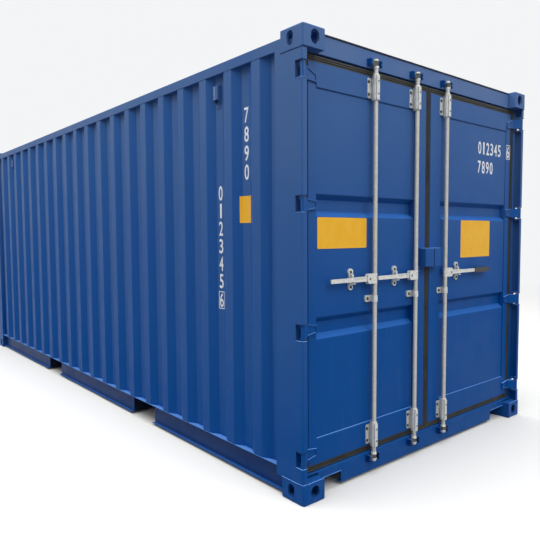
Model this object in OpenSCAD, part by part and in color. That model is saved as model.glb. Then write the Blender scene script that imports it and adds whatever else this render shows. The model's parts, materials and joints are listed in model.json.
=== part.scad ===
// Twenty foot steel dry cargo container with double doors at one end and a closed wall at the other.
// Frame: X along the length with the doors at +X, Y across with the seen long side at -Y,
// Z up from the ground under the corner castings. Units are millimetres.

/* [Overall] */
// Length over the corner castings
container_length = 6058; // [5900:1:6200]
// Width over the corner castings
container_width = 2438; // [2400:1:2500]
// Height over the corner castings
container_height = 2591; // [2400:1:2900]
// Level of the floor surface
floor_level = 170; // [150:1:190]

/* [Corner castings] */
// Length of a corner casting
casting_length = 178; // [170:1:190]
// Width of a corner casting
casting_width = 162; // [155:1:170]
// Height of a corner casting
casting_height = 118; // [110:1:125]
// Wall of a casting at the top and bottom face
casting_face_wall = 28; // [20:1:32]
// Wall of a casting at its sides
casting_side_wall = 16; // [12:1:22]
// Radius of the outer vertical edge of a casting
casting_edge_radius = 14; // [8:1:18]
// Length of the locking slot in the top and bottom face
slot_length = 124.5; // [120:0.5:130]
// Width of the locking slot in the top and bottom face
slot_width = 63.5; // [60:0.5:66]
// Slot centre from the container end
slot_from_end = 102.5; // [98:0.5:106]
// Slot centre from the container side
slot_from_side = 89.5; // [85:0.5:93]
// Height of the side and end holes
side_hole_height = 79.5; // [70:0.5:85]
// Width of the hole in the long side
side_hole_width = 51; // [45:0.5:60]
// Width of the hole in the end
end_hole_width = 63.5; // [55:0.5:70]

/* [Corner posts] */
// Length of the side face of a door end post
post_length = 220; // [180:1:240]
// Length of the side face of a closed end post
rear_post_length = 190; // [172:1:220]
// Outer face of the post end behind the casting end
post_end_recess = 6; // [3:1:12]
// Pressed plate thickness of a post
post_plate = 6; // [4:0.5:8]
// Width of the bent return on the door end face
post_return = 35; // [25:1:45]
// Outer bend radius of the post
post_bend_radius = 12; // [8:1:18]
// Web thickness of the inner channel
post_channel_web = 12; // [8:1:14]
// Flange thickness of the inner channel
post_channel_flange = 10; // [6:1:12]
// Inner channel in front of the leaf face
post_channel_lead = 1; // [0:0.5:3]
// Inner face of the channel from the container side
post_width = 49; // [45:1:56]

/* [Rails] */
// Top side rail height and width
top_rail_size = 60; // [50:1:80]
// Top side rail wall
top_rail_wall = 3; // [2:0.5:5]
// Top of the side rail below the casting top
top_rail_drop = 41; // [30:1:55]
// Rail face behind the casting face
rail_face_recess = 3; // [1:0.5:8]
// Bottom side rail height
bottom_rail_height = 154; // [140:1:160]
// Bottom side rail top flange
bottom_rail_top_flange = 48; // [40:1:60]
// Bottom side rail bottom flange
bottom_rail_bottom_flange = 30; // [20:1:40]
// Bottom side rail plate
bottom_rail_plate = 4.5; // [3:0.5:6]

/* [Side walls] */
// Distance from one corrugation to the next
wall_pitch = 275.5; // [240:0.5:300]
// Middle of the corrugations towards the doors
wall_shift = 10; // [-30:1:30]
// Width of an outer crest
wall_crest = 72; // [50:1:110]
// Width of an inner valley
wall_valley = 70; // [50:1:110]
// Depth of a corrugation
wall_depth = 36; // [20:1:45]
// Side wall sheet thickness
wall_sheet = 2; // [1.5:0.1:3]
// Crest face behind the casting face
wall_face_recess = 5; // [3:0.5:10]

/* [Vents] */
// Width of a vent hood
vent_width = 50; // [40:1:66]
// Height of a vent hood
vent_height = 120; // [90:1:150]
// Depth of a vent hood
vent_depth = 30; // [20:1:34]
// Plate of a vent hood
vent_plate = 3; // [2:0.5:4]
// Height of the sloped foot of a vent hood
vent_foot = 26; // [10:1:40]
// Height of the sloped head of a vent hood
vent_head = 10; // [4:1:30]
// Width of the back plate of a vent hood
vent_back_width = 30; // [20:1:40]
// Back plate beyond each end of the hood
vent_tab = 25; // [15:1:35]
// Middle of a vent below the casting top
vent_drop = 216; // [200:1:300]

/* [Closed end] */
// Distance from one end wall corrugation to the next
end_pitch = 250; // [220:1:280]
// Width of an outer crest of the end wall
end_crest = 110; // [90:1:120]
// Width of an inner valley of the end wall
end_valley = 104; // [80:1:110]
// Depth of an end wall corrugation
end_depth = 45; // [30:1:50]
// End wall crest face behind the casting end
end_wall_recess = 8; // [6:1:14]
// End rail face behind the casting end
end_rail_recess = 5; // [3:1:10]
// Flange of the bottom end rail
end_rail_flange = 50; // [45:1:60]

/* [Roof] */
// Roof sheet thickness
roof_sheet = 2; // [1.5:0.1:3]
// Height of a roof corrugation
roof_depth = 20; // [12:1:28]
// Distance from one roof corrugation to the next
roof_pitch = 209; // [180:1:240]
// Width of a roof corrugation at its top
roof_crest = 91; // [70:1:110]
// Width of one sloped side of a roof corrugation
roof_slope = 13.5; // [8:0.5:25]
// Length of the sloped end of a roof corrugation
roof_end_slope = 40; // [25:1:60]
// Flat margin of the roof along the side
roof_margin = 95; // [60:1:130]
// Least flat margin of the roof at its ends
roof_end_margin = 100; // [60:1:140]
// Roof edge behind the rail face
roof_edge_recess = 10; // [4:1:20]

/* [Floor] */
// Plywood floor thickness
floor_board = 28; // [20:1:32]
// Number of floor boards along the length
floor_boards = 5; // [4:1:7]
// Joint beside a floor board
floor_joint = 3; // [1:0.5:6]
// Cross member height
cross_height = 122; // [100:1:140]
// Cross member flange width
cross_flange = 45; // [35:1:60]
// Cross member plate
cross_plate = 4; // [3:0.5:6]
// Distance from one cross member to the next
cross_pitch = 300; // [250:1:340]

/* [Fork pockets] */
// Distance between the two pocket centres
pocket_spacing = 2050; // [1950:1:2100]
// Middle of the two pockets towards the doors
pocket_shift = 75; // [-100:1:100]
// Clear width of a pocket
pocket_width = 355; // [340:1:380]
// Clear height of a pocket
pocket_height = 118; // [100:1:122]
// Plate of a pocket
pocket_plate = 5; // [3:0.5:8]

/* [Door frame] */
// Header face behind the casting end
header_recess = 59; // [45:1:70]
// Header top below the casting top
header_top_drop = 8; // [4:1:20]
// Header and sill box depth
beam_depth = 120; // [90:1:140]
// Header and sill plate
beam_plate = 4; // [3:0.5:6]
// Sill face behind the casting end
sill_recess = 55; // [40:1:70]
// Sill top above the ground
sill_top = 138; // [120:1:150]
// Sill bottom above the ground
sill_bottom = 20; // [12:1:30]
// Lower lip of the sill
sill_lip = 40; // [25:1:60]
// Length of the sill cut-out beside a casting
sill_notch_length = 195; // [150:1:220]
// Top of the sill cut-out above the ground
sill_notch_top = 90; // [70:1:100]

/* [Door leaves] */
// Leaf face behind the casting end
leaf_recess = 67; // [55:1:80]
// Leaf thickness
leaf_depth = 50; // [40:1:60]
// Wall of the leaf frame tubes
leaf_wall = 3.2; // [2:0.1:5]
// Leaf frame edge from the container side
leaf_side_gap = 101; // [95:1:115]
// Leaf frame edge at the middle, from the centre
leaf_inner_edge = 27; // [22:1:35]
// Leaf frame bottom above the sill
leaf_sill_gap = 42; // [36:1:50]
// Leaf frame top below the header
leaf_header_gap = 43; // [36:1:50]
// Width of the frame tube on the hinge side
hinge_stile = 62; // [55:1:100]
// Width of the frame tube at the middle
lock_stile = 123; // [90:1:130]
// Height of the frame tube at the top
leaf_top_rail = 133; // [100:1:150]
// Height of the frame tube at the bottom
leaf_bottom_rail = 146; // [100:1:160]
// Panel face behind the leaf face
panel_recess = 6; // [2:1:12]
// Panel sheet thickness
panel_sheet = 2; // [1.5:0.1:3]
// Depth of a panel groove
groove_depth = 36; // [20:1:40]
// Opening height of a panel groove
groove_height = 126; // [90:1:150]
// Height of one sloped side of a groove
groove_slope = 30; // [15:1:40]
// Middle of a groove from the nearer end of the leaf
groove_inset = 778; // [700:1:850]

/* [Gaskets] */
// Gasket face behind the leaf face
gasket_recess = 4; // [2:1:10]
// Gasket depth
gasket_depth = 28; // [20:1:40]
// Gap from the gasket to the frame around it
gasket_gap = 7; // [5:0.5:10]
// Gap between the two gaskets at the middle
centre_gap = 8; // [7:0.5:12]
// Depth of the grooves between the gasket lips
lip_groove_depth = 7; // [3:0.5:10]
// Share of the gasket width that one groove takes
lip_groove_share = 0.14; // [0.08:0.01:0.2]

/* [Hinges] */
// Hinge pin behind the casting end
pin_recess = 22; // [18:1:30]
// Hinge pin from the container side
pin_from_side = 21; // [18:1:28]
// Hinge pin radius
pin_radius = 7; // [5:0.5:9]
// Gap from the pin to the hole in a lug
pin_fit = 0.2; // [0.1:0.1:0.5]
// Running gap between pin and knuckle
pin_gap = 1; // [0.5:0.1:2]
// Hinge knuckle radius
knuckle_radius = 14.5; // [12:0.5:17]
// Height of a knuckle
knuckle_height = 82; // [60:1:90]
// Height of the post cut-out at a hinge
cutout_height = 92; // [80:1:110]
// Start of the post cut-out behind the post end face
cutout_length = 56; // [40:1:70]
// Thickness of a hinge lug plate
lug_plate = 12; // [8:1:16]
// Thickness of a hinge blade
blade_plate = 10; // [6:1:12]
// Height of a hinge blade beside the knuckle
blade_height = 70; // [50:1:80]
// Height of a hinge blade at its tip
blade_tip_height = 46; // [30:1:60]
// Tip of a hinge blade from the pin
blade_reach = 140; // [110:1:142]
// Drop of the tip of the top hinge blade
top_blade_drop = 18; // [0:1:24]
// Rim around the pocket in a hinge blade
blade_rim = 9; // [6:1:14]
// Depth of the pocket in a hinge blade
blade_pocket = 5; // [1:0.5:7]
// Top and bottom hinge from the nearer end of the leaf
hinge_inset = 72; // [60:1:120]

/* [Cam keepers] */
// Lug reach in front of the beam face
keeper_reach = 34; // [28:1:38]
// Lug thickness
keeper_lug = 9; // [6:1:12]
// Gap from the nose of the cam to a lug
keeper_gap = 6; // [5:0.5:10]
// Foot of a lug beyond its outer face
keeper_foot = 5; // [2:1:12]
// Keeper height
keeper_height = 44; // [36:1:52]
// Keeper middle beyond the cam middle
keeper_shift = 10; // [4:1:14]

/* [Lock rods] */
// Lock rod radius
rod_radius = 13.6; // [12:0.1:17]
// Lock rod axis behind the casting end
rod_recess = 34; // [30:1:38]
// Outer lock rod from the centre
outer_rod = 588; // [540:1:620]
// Inner lock rods from the centre
inner_rod = 172; // [150:1:200]
// Cam middle beyond the edge of the header and the sill
cam_inset = 21; // [14:1:30]
// Height of the waist between the cam discs
cam_waist = 22; // [16:1:28]
// Height of a cam disc
cam_disc = 17; // [12:1:22]
// Cam disc radius
cam_radius = 18; // [16:0.5:22]
// Bevel on the outer edge of a cam disc
cam_bevel = 4; // [2:0.5:6]
// Height of the narrower outer ring of a cam disc
cam_ring = 6; // [3:0.5:8]
// End of the rod beyond the cam
cam_cap = 3; // [1:0.5:6]
// Reach of the cam nose from the rod axis
cam_reach = 34; // [28:1:38]
// Radius of the cam nose
nose_radius = 9; // [6:0.5:12]
// Radius of the collars on a rod
collar_radius = 18; // [16:0.5:21]
// Height of a collar
collar_height = 10; // [6:1:14]
// Gap from a collar to the bearing below it
collar_gap = 0.3; // [0.2:0.1:1]

/* [Rod bearings] */
// Upper and lower bearing from the nearer end of the leaf
bearing_inset = 71; // [60:1:90]
// Height of the sleeve of an end bearing
sleeve_height = 144; // [110:1:160]
// Outer radius of a sleeve
sleeve_radius = 20; // [17:0.5:23]
// Running gap between rod and sleeve
rod_gap = 1.4; // [1:0.1:3]
// Foot plate thickness
bearing_plate = 5; // [3:0.5:8]
// Height of the foot plate of an end bearing
foot_height = 118; // [90:1:140]
// Foot plate of an end bearing, reach from the rod axis
foot_reach = 42; // [36:1:60]
// Foot plate reach on the far side of the rod
foot_return = 26; // [22:1:40]
// Foot plate reach of the middle guide on the far side of the rod
guide_return = 21; // [19:1:22]
// Corner radius of a foot plate
foot_corner = 9; // [4:1:14]
// Radius of the bolt holes in a foot plate
bolt_hole_radius = 4; // [3:0.5:6]
// Bolt holes from the nearer end of the foot plate
bolt_inset = 22; // [14:1:30]
// Clamp strip in front of the sleeve surface
strip_lift = 2.5; // [1:0.5:4]
// Width of the clamp strip
strip_width = 26; // [20:1:30]
// Edge of the clamp strip from the rod axis towards +Y
strip_reach = 9; // [7:1:14]
// Height of the middle guide
guide_height = 40; // [30:1:60]
// Outer radius of the middle guide
guide_radius = 17.5; // [16.5:0.5:19]
// Height of an ear of the middle guide
guide_ear = 10; // [6:1:14]
// Foot plate of the middle guide, reach from the rod axis
guide_reach = 54; // [40:1:70]
// Middle guide below the handle
guide_drop = 124; // [100:1:200]

/* [Handles] */
// Handle height above the ground
handle_level = 1221; // [1150:1:1300]
// Handle reach from the rod axis
handle_reach = 385; // [340:1:400]
// Reach of the handle with the grip
grip_reach = 576; // [500:1:600]
// Start of the grip from the rod axis
grip_start = 382; // [340:1:420]
// Height of the grip
grip_height = 35; // [30:1:40]
// Thickness of the grip
grip_thickness = 19; // [16:1:24]
// Height of the thick part of a handle
handle_height = 30; // [26:1:34]
// Height of the thin part of a handle
handle_end_height = 24; // [18:1:26]
// End of the thick part from the rod axis
handle_step = 196; // [180:1:220]
// Handle bar thickness
handle_plate = 10; // [8:1:14]
// Depth of the recess along the thick part
handle_recess = 2.5; // [1:0.5:4]
// Pivot of the handle from the rod axis
handle_pivot = 58; // [50:1:66]
// Pivot pin radius
pivot_radius = 6; // [4:0.5:8]
// Gap around the pivot pin
pivot_gap = 0.5; // [0.3:0.1:1]
// Height of the fork on the rod
fork_height = 60; // [52:1:76]
// Fork beyond the pivot
fork_end = 18; // [16:1:24]
// Corner radius of the fork
fork_corner = 14; // [6:1:20]
// Plate of the fork cheeks
cheek_plate = 6; // [4:0.5:8]
// Gap between handle and cheek
cheek_gap = 1.5; // [1:0.1:3]
// Wall of the fork around the rod
fork_wall = 1.5; // [1:0.5:5]

/* [Handle retainers] */
// Retainer from the rod axis
retainer_from_rod = 186; // [160:1:240]
// Top of the retainer above the handle axis
retainer_rise = 66; // [60:1:110]
// Bottom of the retainer below the handle axis
retainer_fall = 62; // [56:1:80]
// Radius of the upper lobe
retainer_upper_lobe = 21; // [16:0.5:24]
// Radius of the lower lobe
retainer_lower_lobe = 18; // [14:0.5:22]
// Radius of the holes in the lobes
retainer_hole = 7; // [4:0.5:9]
// Width of the arm and the shelf
retainer_arm = 15; // [10:1:20]
// Gap from the handle to the arm and the shelf
retainer_gap = 6; // [5:0.5:10]

/* [Lock cover] */
// Lock cover bottom above the ground
cover_bottom = 1272; // [1262:1:1300]
// Lock cover height
cover_height = 122; // [100:1:140]
// Lock cover reach on the left leaf
cover_left = 100; // [80:1:110]
// Lock cover reach on the right leaf
cover_right = 80; // [60:1:100]
// Lock cover plate
cover_plate = 4; // [3:0.5:6]
// Lock cover face behind the casting end
cover_recess = 7; // [4:1:12]
// Lug below the lock cover, its height
cover_lug_height = 38; // [25:1:50]
// Lug below the lock cover, its width
cover_lug_width = 66; // [40:1:80]
// Lug beyond the side of the lock cover
cover_lug_offset = 17; // [8:1:24]
// Lug thickness
cover_lug_plate = 12; // [6:1:16]

/* [Hidden] */
// Round pieces are divided this finely
$fn = 48;
half_length = container_length / 2;
half_width = container_width / 2;
top_casting_base = container_height - casting_height;
casting_inner_x = half_length - casting_length;
frame_half_y = half_width - casting_width;
leaf_face_x = half_length - leaf_recess;
post_face_x = half_length - post_end_recess;
post_inner_x = post_face_x - post_length;
rear_post_inner_x = post_face_x - rear_post_length;
post_inner_y = half_width - post_width;
channel_front_x = leaf_face_x + post_channel_lead;
top_rail_top = container_height - top_rail_drop;
top_rail_bottom = top_rail_top - top_rail_size;
bottom_rail_bottom = floor_level - bottom_rail_height;
rail_outer_y = half_width - rail_face_recess;
bottom_web_y = rail_outer_y - bottom_rail_top_flange;
wall_outer_y = half_width - wall_face_recess;
wall_valley_y = wall_outer_y - wall_depth;
wall_slope = (wall_pitch - wall_crest - wall_valley) / 2;
wall_crests = 2 * floor(post_inner_x / wall_pitch);
vent_from_middle = (wall_crests / 2 - 2) * wall_pitch;
vent_base = container_height - vent_drop - vent_height / 2;
end_rail_x = half_length - end_rail_recess;
end_crest_x = half_length - end_wall_recess;
end_valley_x = end_crest_x - end_depth;
end_slope = (end_pitch - end_crest - end_valley) / 2;
end_crests = floor(2 * frame_half_y / end_pitch);
header_face_x = half_length - header_recess;
sill_face_x = half_length - sill_recess;
header_top = container_height - header_top_drop;
beam_back_x = header_face_x - beam_depth;
roof_half_y = rail_outer_y - roof_edge_recess;
roof_ridge_half_y = roof_half_y - roof_margin;
roof_count = floor(2 * (beam_back_x - roof_end_margin) / roof_pitch);
floor_base = floor_level - floor_board;
floor_rear_x = end_rail_x - end_rail_flange - floor_joint;
cross_base = floor_base - cross_height;
cross_half_count = floor((beam_back_x - cross_flange) / cross_pitch);
pocket_places = [pocket_shift - pocket_spacing / 2, pocket_shift + pocket_spacing / 2];
leaf_back_x = leaf_face_x - leaf_depth;
leaf_outer_edge = half_width - leaf_side_gap;
leaf_bottom = sill_top + leaf_sill_gap;
leaf_top = top_casting_base - leaf_header_gap;
panel_face_x = leaf_face_x - panel_recess;
panel_outer_y = leaf_outer_edge - hinge_stile;
panel_inner_y = leaf_inner_edge + lock_stile;
panel_bottom = leaf_bottom + leaf_bottom_rail;
panel_top = leaf_top - leaf_top_rail;
groove_lower = leaf_bottom + groove_inset;
groove_upper = leaf_top - groove_inset;
gasket_face_x = leaf_face_x - gasket_recess;
gasket_outer_y = post_inner_y - gasket_gap;
gasket_bottom = sill_top + gasket_gap;
gasket_top = top_casting_base - gasket_gap;
pin_x = half_length - pin_recess;
pin_y = half_width - pin_from_side;
// Each hinge: its height and the drop of its blade
hinge_rows = [[leaf_bottom + hinge_inset, 0], [groove_lower, 0], [groove_upper, 0],
    [leaf_top - hinge_inset, top_blade_drop]];
rod_x = half_length - rod_recess;
rod_places = [-outer_rod, -inner_rod, inner_rod];
cam_half = cam_waist / 2 + cam_disc;
cam_upper = top_casting_base + cam_inset;
cam_lower = sill_top - cam_inset;
keeper_half = cam_reach + keeper_gap + keeper_lug;
upper_bearing = leaf_top - bearing_inset;
lower_bearing = leaf_bottom + bearing_inset;
guide_level = handle_level - guide_drop;
cheek_inner = handle_plate / 2 + cheek_gap;
fork_reach = handle_pivot + fork_end;
cover_face_x = half_length - cover_recess;
// Small overrun of a cutting shape
overrun = 0.5;

// Piece to show

paint = [0.11, 0.27, 0.55];
dark_paint = [0.09, 0.2, 0.42];
zinc = [0.78, 0.79, 0.8];
rubber = [0.16, 0.16, 0.17];
timber = [0.55, 0.36, 0.24];

// Copies for all four corners of a piece drawn at +X +Y
module four_corners() {
    for (a = [0, 1])
        for (b = [0, 1])
            mirror([a, 0, 0])
                mirror([0, b, 0])
                    children();
}

// Copies for both long sides of a piece drawn at +Y
module both_sides() {
    for (b = [0, 1])
        mirror([0, b, 0])
            children();
}

// Box from its low corner to its high corner
module box(low, high) {
    translate(low)
        cube([high[0] - low[0], high[1] - low[1], high[2] - low[2]]);
}

// Slot outline with round ends, long way along the first axis
module slot_outline(length, width) {
    square([length - width, width], center = true);
    for (s = [-1, 1])
        translate([s * (length - width) / 2, 0])
            circle(d = width);
}

// Rectangle from a low to a high corner with all four corners rounded
module rounded_outline(low, high, radius) {
    translate([low[0] + radius, low[1]])
        square([high[0] - low[0] - 2 * radius, high[1] - low[1]]);
    translate([low[0], low[1] + radius])
        square([high[0] - low[0], high[1] - low[1] - 2 * radius]);
    for (a = [low[0] + radius, high[0] - radius])
        for (b = [low[1] + radius, high[1] - radius])
            translate([a, b])
                circle(r = radius);
}

// Disc with a bevelled upper edge
module bevelled_disc(radius, height, bevel) {
    rotate_extrude()
        polygon([[0, 0], [radius, 0], [radius, height - bevel], [radius - bevel, height], [0, height]]);
}

// Outline drawn in X and Z, carried along Y from one value to another
module along_y(from, to) {
    translate([0, to, 0])
        rotate([90, 0, 0])
            linear_extrude(height = to - from)
                children();
}

// Outline drawn in Y and Z, carried along X from one value to another
module along_x(from, to) {
    translate([from, 0, 0])
        rotate([90, 0, 90])
            linear_extrude(height = to - from)
                children();
}

function reversed(list) = [for (i = [len(list) - 1 : -1 : 0]) list[i]];

// Outer line of a corrugated sheet from one end to the other, with crests at a face value
function corrugated_line(from, to, middle, count, pitch, crest, slope, face, depth) = concat(
    [[from, face - depth]],
    [for (k = [0 : count - 1]) let (c = middle + (k - (count - 1) / 2) * pitch)
        each [[c - crest / 2 - slope, face - depth], [c - crest / 2, face],
            [c + crest / 2, face], [c + crest / 2 + slope, face - depth]]],
    [[to, face - depth]]);

// One corner casting at +X +Y with the slotted face at height zero
module corner_casting() {
    difference() {
        linear_extrude(height = casting_height)
            union() {
                translate([casting_inner_x, frame_half_y])
                    square([casting_length - casting_edge_radius, casting_width]);
                translate([casting_inner_x, frame_half_y])
                    square([casting_length, casting_width - casting_edge_radius]);
                translate([half_length - casting_edge_radius, half_width - casting_edge_radius])
                    circle(r = casting_edge_radius);
            }
        box([casting_inner_x + casting_side_wall, frame_half_y + casting_side_wall, casting_face_wall],
            [half_length - casting_side_wall, half_width - casting_side_wall,
                casting_height - casting_face_wall / 2]);
        translate([half_length - slot_from_end, half_width - slot_from_side, -overrun])
            linear_extrude(height = casting_face_wall + 2 * overrun)
                slot_outline(slot_length, slot_width);
        translate([half_length - slot_from_end, half_width + overrun, casting_height / 2])
            rotate([90, 90, 0])
                linear_extrude(height = casting_side_wall + 2 * overrun)
                    slot_outline(side_hole_height, side_hole_width);
        translate([half_length + overrun, half_width - slot_from_side, casting_height / 2])
            rotate([0, -90, 0])
                linear_extrude(height = casting_side_wall + 2 * overrun)
                    slot_outline(side_hole_height, end_hole_width);
    }
}

module bottom_corner_castings() {
    color(paint)
        four_corners()
            corner_casting();
}

module top_corner_castings() {
    color(paint)
        four_corners()
            translate([0, 0, container_height])
                mirror([0, 0, 1])
                    corner_casting();
}

// Plan of the pressed outer plate of a post at +X +Y, with its end face down to a value of Y
module post_plate_outline(length, end_y) {
    bend_x = post_face_x - post_bend_radius;
    bend_y = half_width - post_bend_radius;
    translate([post_face_x - length, half_width - post_plate])
        square([length - post_bend_radius, post_plate]);
    translate([post_face_x - post_plate, end_y])
        square([post_plate, bend_y - end_y]);
    intersection() {
        difference() {
            translate([bend_x, bend_y])
                circle(r = post_bend_radius);
            translate([bend_x, bend_y])
                circle(r = post_bend_radius - post_plate);
        }
        translate([bend_x, bend_y])
            square(post_bend_radius);
    }
    translate([post_face_x - length, wall_valley_y])
        square([post_plate, half_width - wall_valley_y]);
}

// Plan of the inner channel of a door end post with the plate that closes it to the wall
module post_channel_outline() {
    flange_length = post_width - post_plate + overrun;
    translate([casting_inner_x, post_inner_y])
        square([channel_front_x - casting_inner_x, post_channel_web]);
    for (x = [casting_inner_x, channel_front_x - post_channel_flange])
        translate([x, post_inner_y])
            square([post_channel_flange, flange_length]);
    translate([post_inner_x, post_inner_y + post_channel_web - post_plate])
        square([casting_inner_x - post_inner_x + overrun, post_plate]);
}

// Upright between the castings at +X +Y that reaches the side rail beside the upper casting
module post_upright() {
    difference() {
        translate([0, 0, casting_height])
            linear_extrude(height = top_rail_bottom - casting_height)
                children();
        box([casting_inner_x, frame_half_y - overrun, top_casting_base],
            [half_length, half_width + overrun, top_rail_bottom + overrun]);
    }
}

// One door end post at +X +Y with the hinge cut-outs and lugs
module front_post() {
    difference() {
        post_upright()
            union() {
                post_plate_outline(post_length, half_width - post_return);
                post_channel_outline();
            }
        for (row = hinge_rows)
            box([post_face_x - cutout_length, half_width - post_return - overrun, row[0] - cutout_height / 2],
                [post_face_x + overrun, half_width + overrun, row[0] + cutout_height / 2]);
    }
    for (row = hinge_rows)
        for (side = [-1, 1])
            translate([0, 0, row[0] + side * (cutout_height + lug_plate) / 2 - lug_plate / 2])
                linear_extrude(height = lug_plate)
                    difference() {
                        translate([channel_front_x - overrun, post_inner_y + post_channel_web])
                            square([post_face_x - post_plate - channel_front_x + 2 * overrun,
                                post_width - post_channel_web - post_plate + overrun]);
                        translate([pin_x, pin_y])
                            circle(r = pin_radius + pin_fit);
                    }
}

module front_corner_posts() {
    color(paint)
        both_sides()
            front_post();
}

// Closed end posts, bent round the corner with a flange towards each wall
module rear_corner_posts() {
    color(paint)
        rotate([0, 0, 180])
            both_sides()
                post_upright()
                    union() {
                        post_plate_outline(rear_post_length, frame_half_y);
                        translate([end_valley_x - wall_sheet, frame_half_y])
                            square([post_face_x - end_valley_x + wall_sheet, post_plate]);
                    }
}

// Square tube outline from its low corner
module tube_outline(low) {
    difference() {
        translate(low)
            square(top_rail_size);
        translate([low[0] + top_rail_wall, low[1] + top_rail_wall])
            square(top_rail_size - 2 * top_rail_wall);
    }
}

module top_side_rails() {
    color(paint)
        both_sides()
            along_x(-casting_inner_x, casting_inner_x)
                tube_outline([rail_outer_y - top_rail_size, top_rail_bottom]);
}

// Outline of a pressed bottom rail from its web, with both flanges to the same side
module channel_outline(web, top_flange, bottom_flange) {
    translate([web, bottom_rail_bottom])
        square([bottom_rail_plate, bottom_rail_height]);
    translate([web, floor_level - bottom_rail_plate])
        square([top_flange, bottom_rail_plate]);
    translate([web, bottom_rail_bottom])
        square([bottom_flange, bottom_rail_plate]);
}

// Bottom side rails, cut for the fork pockets and for the foot of the posts
module bottom_side_rails() {
    color(dark_paint)
        both_sides()
            difference() {
                along_x(-casting_inner_x, casting_inner_x)
                    channel_outline(bottom_web_y, bottom_rail_top_flange, bottom_rail_bottom_flange);
                for (x = pocket_places)
                    box([x - pocket_width / 2, bottom_web_y - overrun, -overrun],
                        [x + pocket_width / 2, half_width, floor_base - pocket_plate]);
                box([post_inner_x, bottom_web_y - overrun, casting_height],
                    [half_length, half_width, floor_level + overrun]);
                box([-half_length, bottom_web_y - overrun, casting_height],
                    [-rear_post_inner_x, half_width, floor_level + overrun]);
            }
}

// Corrugated side wall at +Y
module side_wall() {
    outer = corrugated_line(-rear_post_inner_x, post_inner_x, wall_shift, wall_crests, wall_pitch,
        wall_crest, wall_slope, wall_outer_y, wall_depth);
    inner = corrugated_line(-rear_post_inner_x, post_inner_x, wall_shift, wall_crests, wall_pitch,
        wall_crest, wall_slope, wall_outer_y - wall_sheet, wall_depth);
    translate([0, 0, floor_level])
        linear_extrude(height = top_rail_bottom - floor_level)
            polygon(concat(outer, reversed(inner)));
}

module left_side_wall() {
    color(paint)
        mirror([0, 1, 0])
            side_wall();
}

module right_side_wall() {
    color(paint)
        side_wall();
}

// Side outline in Y and Z of a vent hood, open at its foot, from the wall outward
module vent_outline() {
    difference() {
        polygon([[0, 0], [vent_depth, vent_foot], [vent_depth, vent_height - vent_head], [0, vent_height]]);
        polygon([[vent_plate, -vent_plate], [vent_depth - vent_plate, vent_foot - 2 * vent_plate],
            [vent_depth - vent_plate, vent_height - vent_head - vent_plate],
            [vent_plate, vent_height - 2 * vent_plate]]);
    }
}

// One vent in a valley of the wall at +Y, with its middle at a given X
module side_vent(x) {
    translate([x, wall_valley_y, vent_base]) {
        along_x(-vent_width / 2, vent_width / 2)
            vent_outline();
        for (s = [-1, 1])
            translate([s * (vent_width - vent_plate) / 2 - vent_plate / 2, 0, 0])
                along_x(0, vent_plate)
                    polygon([[0, 0], [vent_depth, vent_foot], [vent_depth, vent_height - vent_head],
                        [0, vent_height]]);
        box([-vent_back_width / 2, 0, -vent_tab],
            [vent_back_width / 2, vent_plate, vent_height + vent_tab]);
    }
}

module side_vents() {
    color(dark_paint)
        both_sides()
            for (s = [-1, 1])
                side_vent(wall_shift + s * vent_from_middle);
}

// Outline in X and Z of the filled roof corrugations above a base level
module roof_ridge_outline(base, shrink) {
    for (k = [0 : roof_count - 1])
        translate([(k - (roof_count - 1) / 2) * roof_pitch, base])
            polygon([[-roof_crest / 2 - roof_slope + shrink, -overrun],
                [-roof_crest / 2 - roof_slope + shrink, 0],
                [-roof_crest / 2 + shrink, roof_depth - shrink],
                [roof_crest / 2 - shrink, roof_depth - shrink],
                [roof_crest / 2 + roof_slope - shrink, 0],
                [roof_crest / 2 + roof_slope - shrink, -overrun]]);
}

// Outline in Y and Z that gives the corrugations their sloped ends
module roof_end_outline(base, shrink) {
    translate([0, base])
        polygon([[-roof_ridge_half_y + shrink, -overrun], [-roof_ridge_half_y + shrink, 0],
            [-roof_ridge_half_y + roof_end_slope, roof_depth - shrink],
            [roof_ridge_half_y - roof_end_slope, roof_depth - shrink],
            [roof_ridge_half_y - shrink, 0], [roof_ridge_half_y - shrink, -overrun]]);
}

// Body of all roof corrugations above a base level
module roof_ridges(base, shrink) {
    intersection() {
        along_y(-roof_half_y, roof_half_y)
            roof_ridge_outline(base, shrink);
        along_x(-beam_back_x, beam_back_x)
            roof_end_outline(base, shrink);
    }
}

// Die-pressed roof with a plain strip over the closed end rail
module roof() {
    color(paint)
        difference() {
            union() {
                box([-casting_inner_x, -roof_half_y, top_rail_top],
                    [beam_back_x, roof_half_y, top_rail_top + roof_sheet]);
                box([-end_rail_x, -frame_half_y, top_rail_top],
                    [-casting_inner_x + overrun, frame_half_y, top_rail_top + roof_sheet]);
                roof_ridges(top_rail_top + roof_sheet, 0);
            }
            translate([0, 0, -roof_sheet])
                roof_ridges(top_rail_top + roof_sheet, roof_sheet);
        }
}

// Corrugated wall of the closed end
module rear_end_wall() {
    outer = corrugated_line(-frame_half_y, frame_half_y, 0, end_crests, end_pitch, end_crest,
        end_slope, end_crest_x, end_depth);
    inner = corrugated_line(-frame_half_y, frame_half_y, 0, end_crests, end_pitch, end_crest,
        end_slope, end_crest_x - wall_sheet, end_depth);
    color(paint)
        rotate([0, 0, 90])
            translate([0, 0, floor_level])
                linear_extrude(height = top_rail_bottom - floor_level)
                    polygon(concat(outer, reversed(inner)));
}

module rear_top_rail() {
    color(paint)
        rotate([0, 0, 180])
            along_y(-frame_half_y, frame_half_y)
                tube_outline([end_rail_x - top_rail_size, top_rail_bottom]);
}

module rear_bottom_rail() {
    color(dark_paint)
        along_y(-frame_half_y, frame_half_y)
            channel_outline(-end_rail_x, end_rail_flange, bottom_rail_bottom_flange);
}

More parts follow.
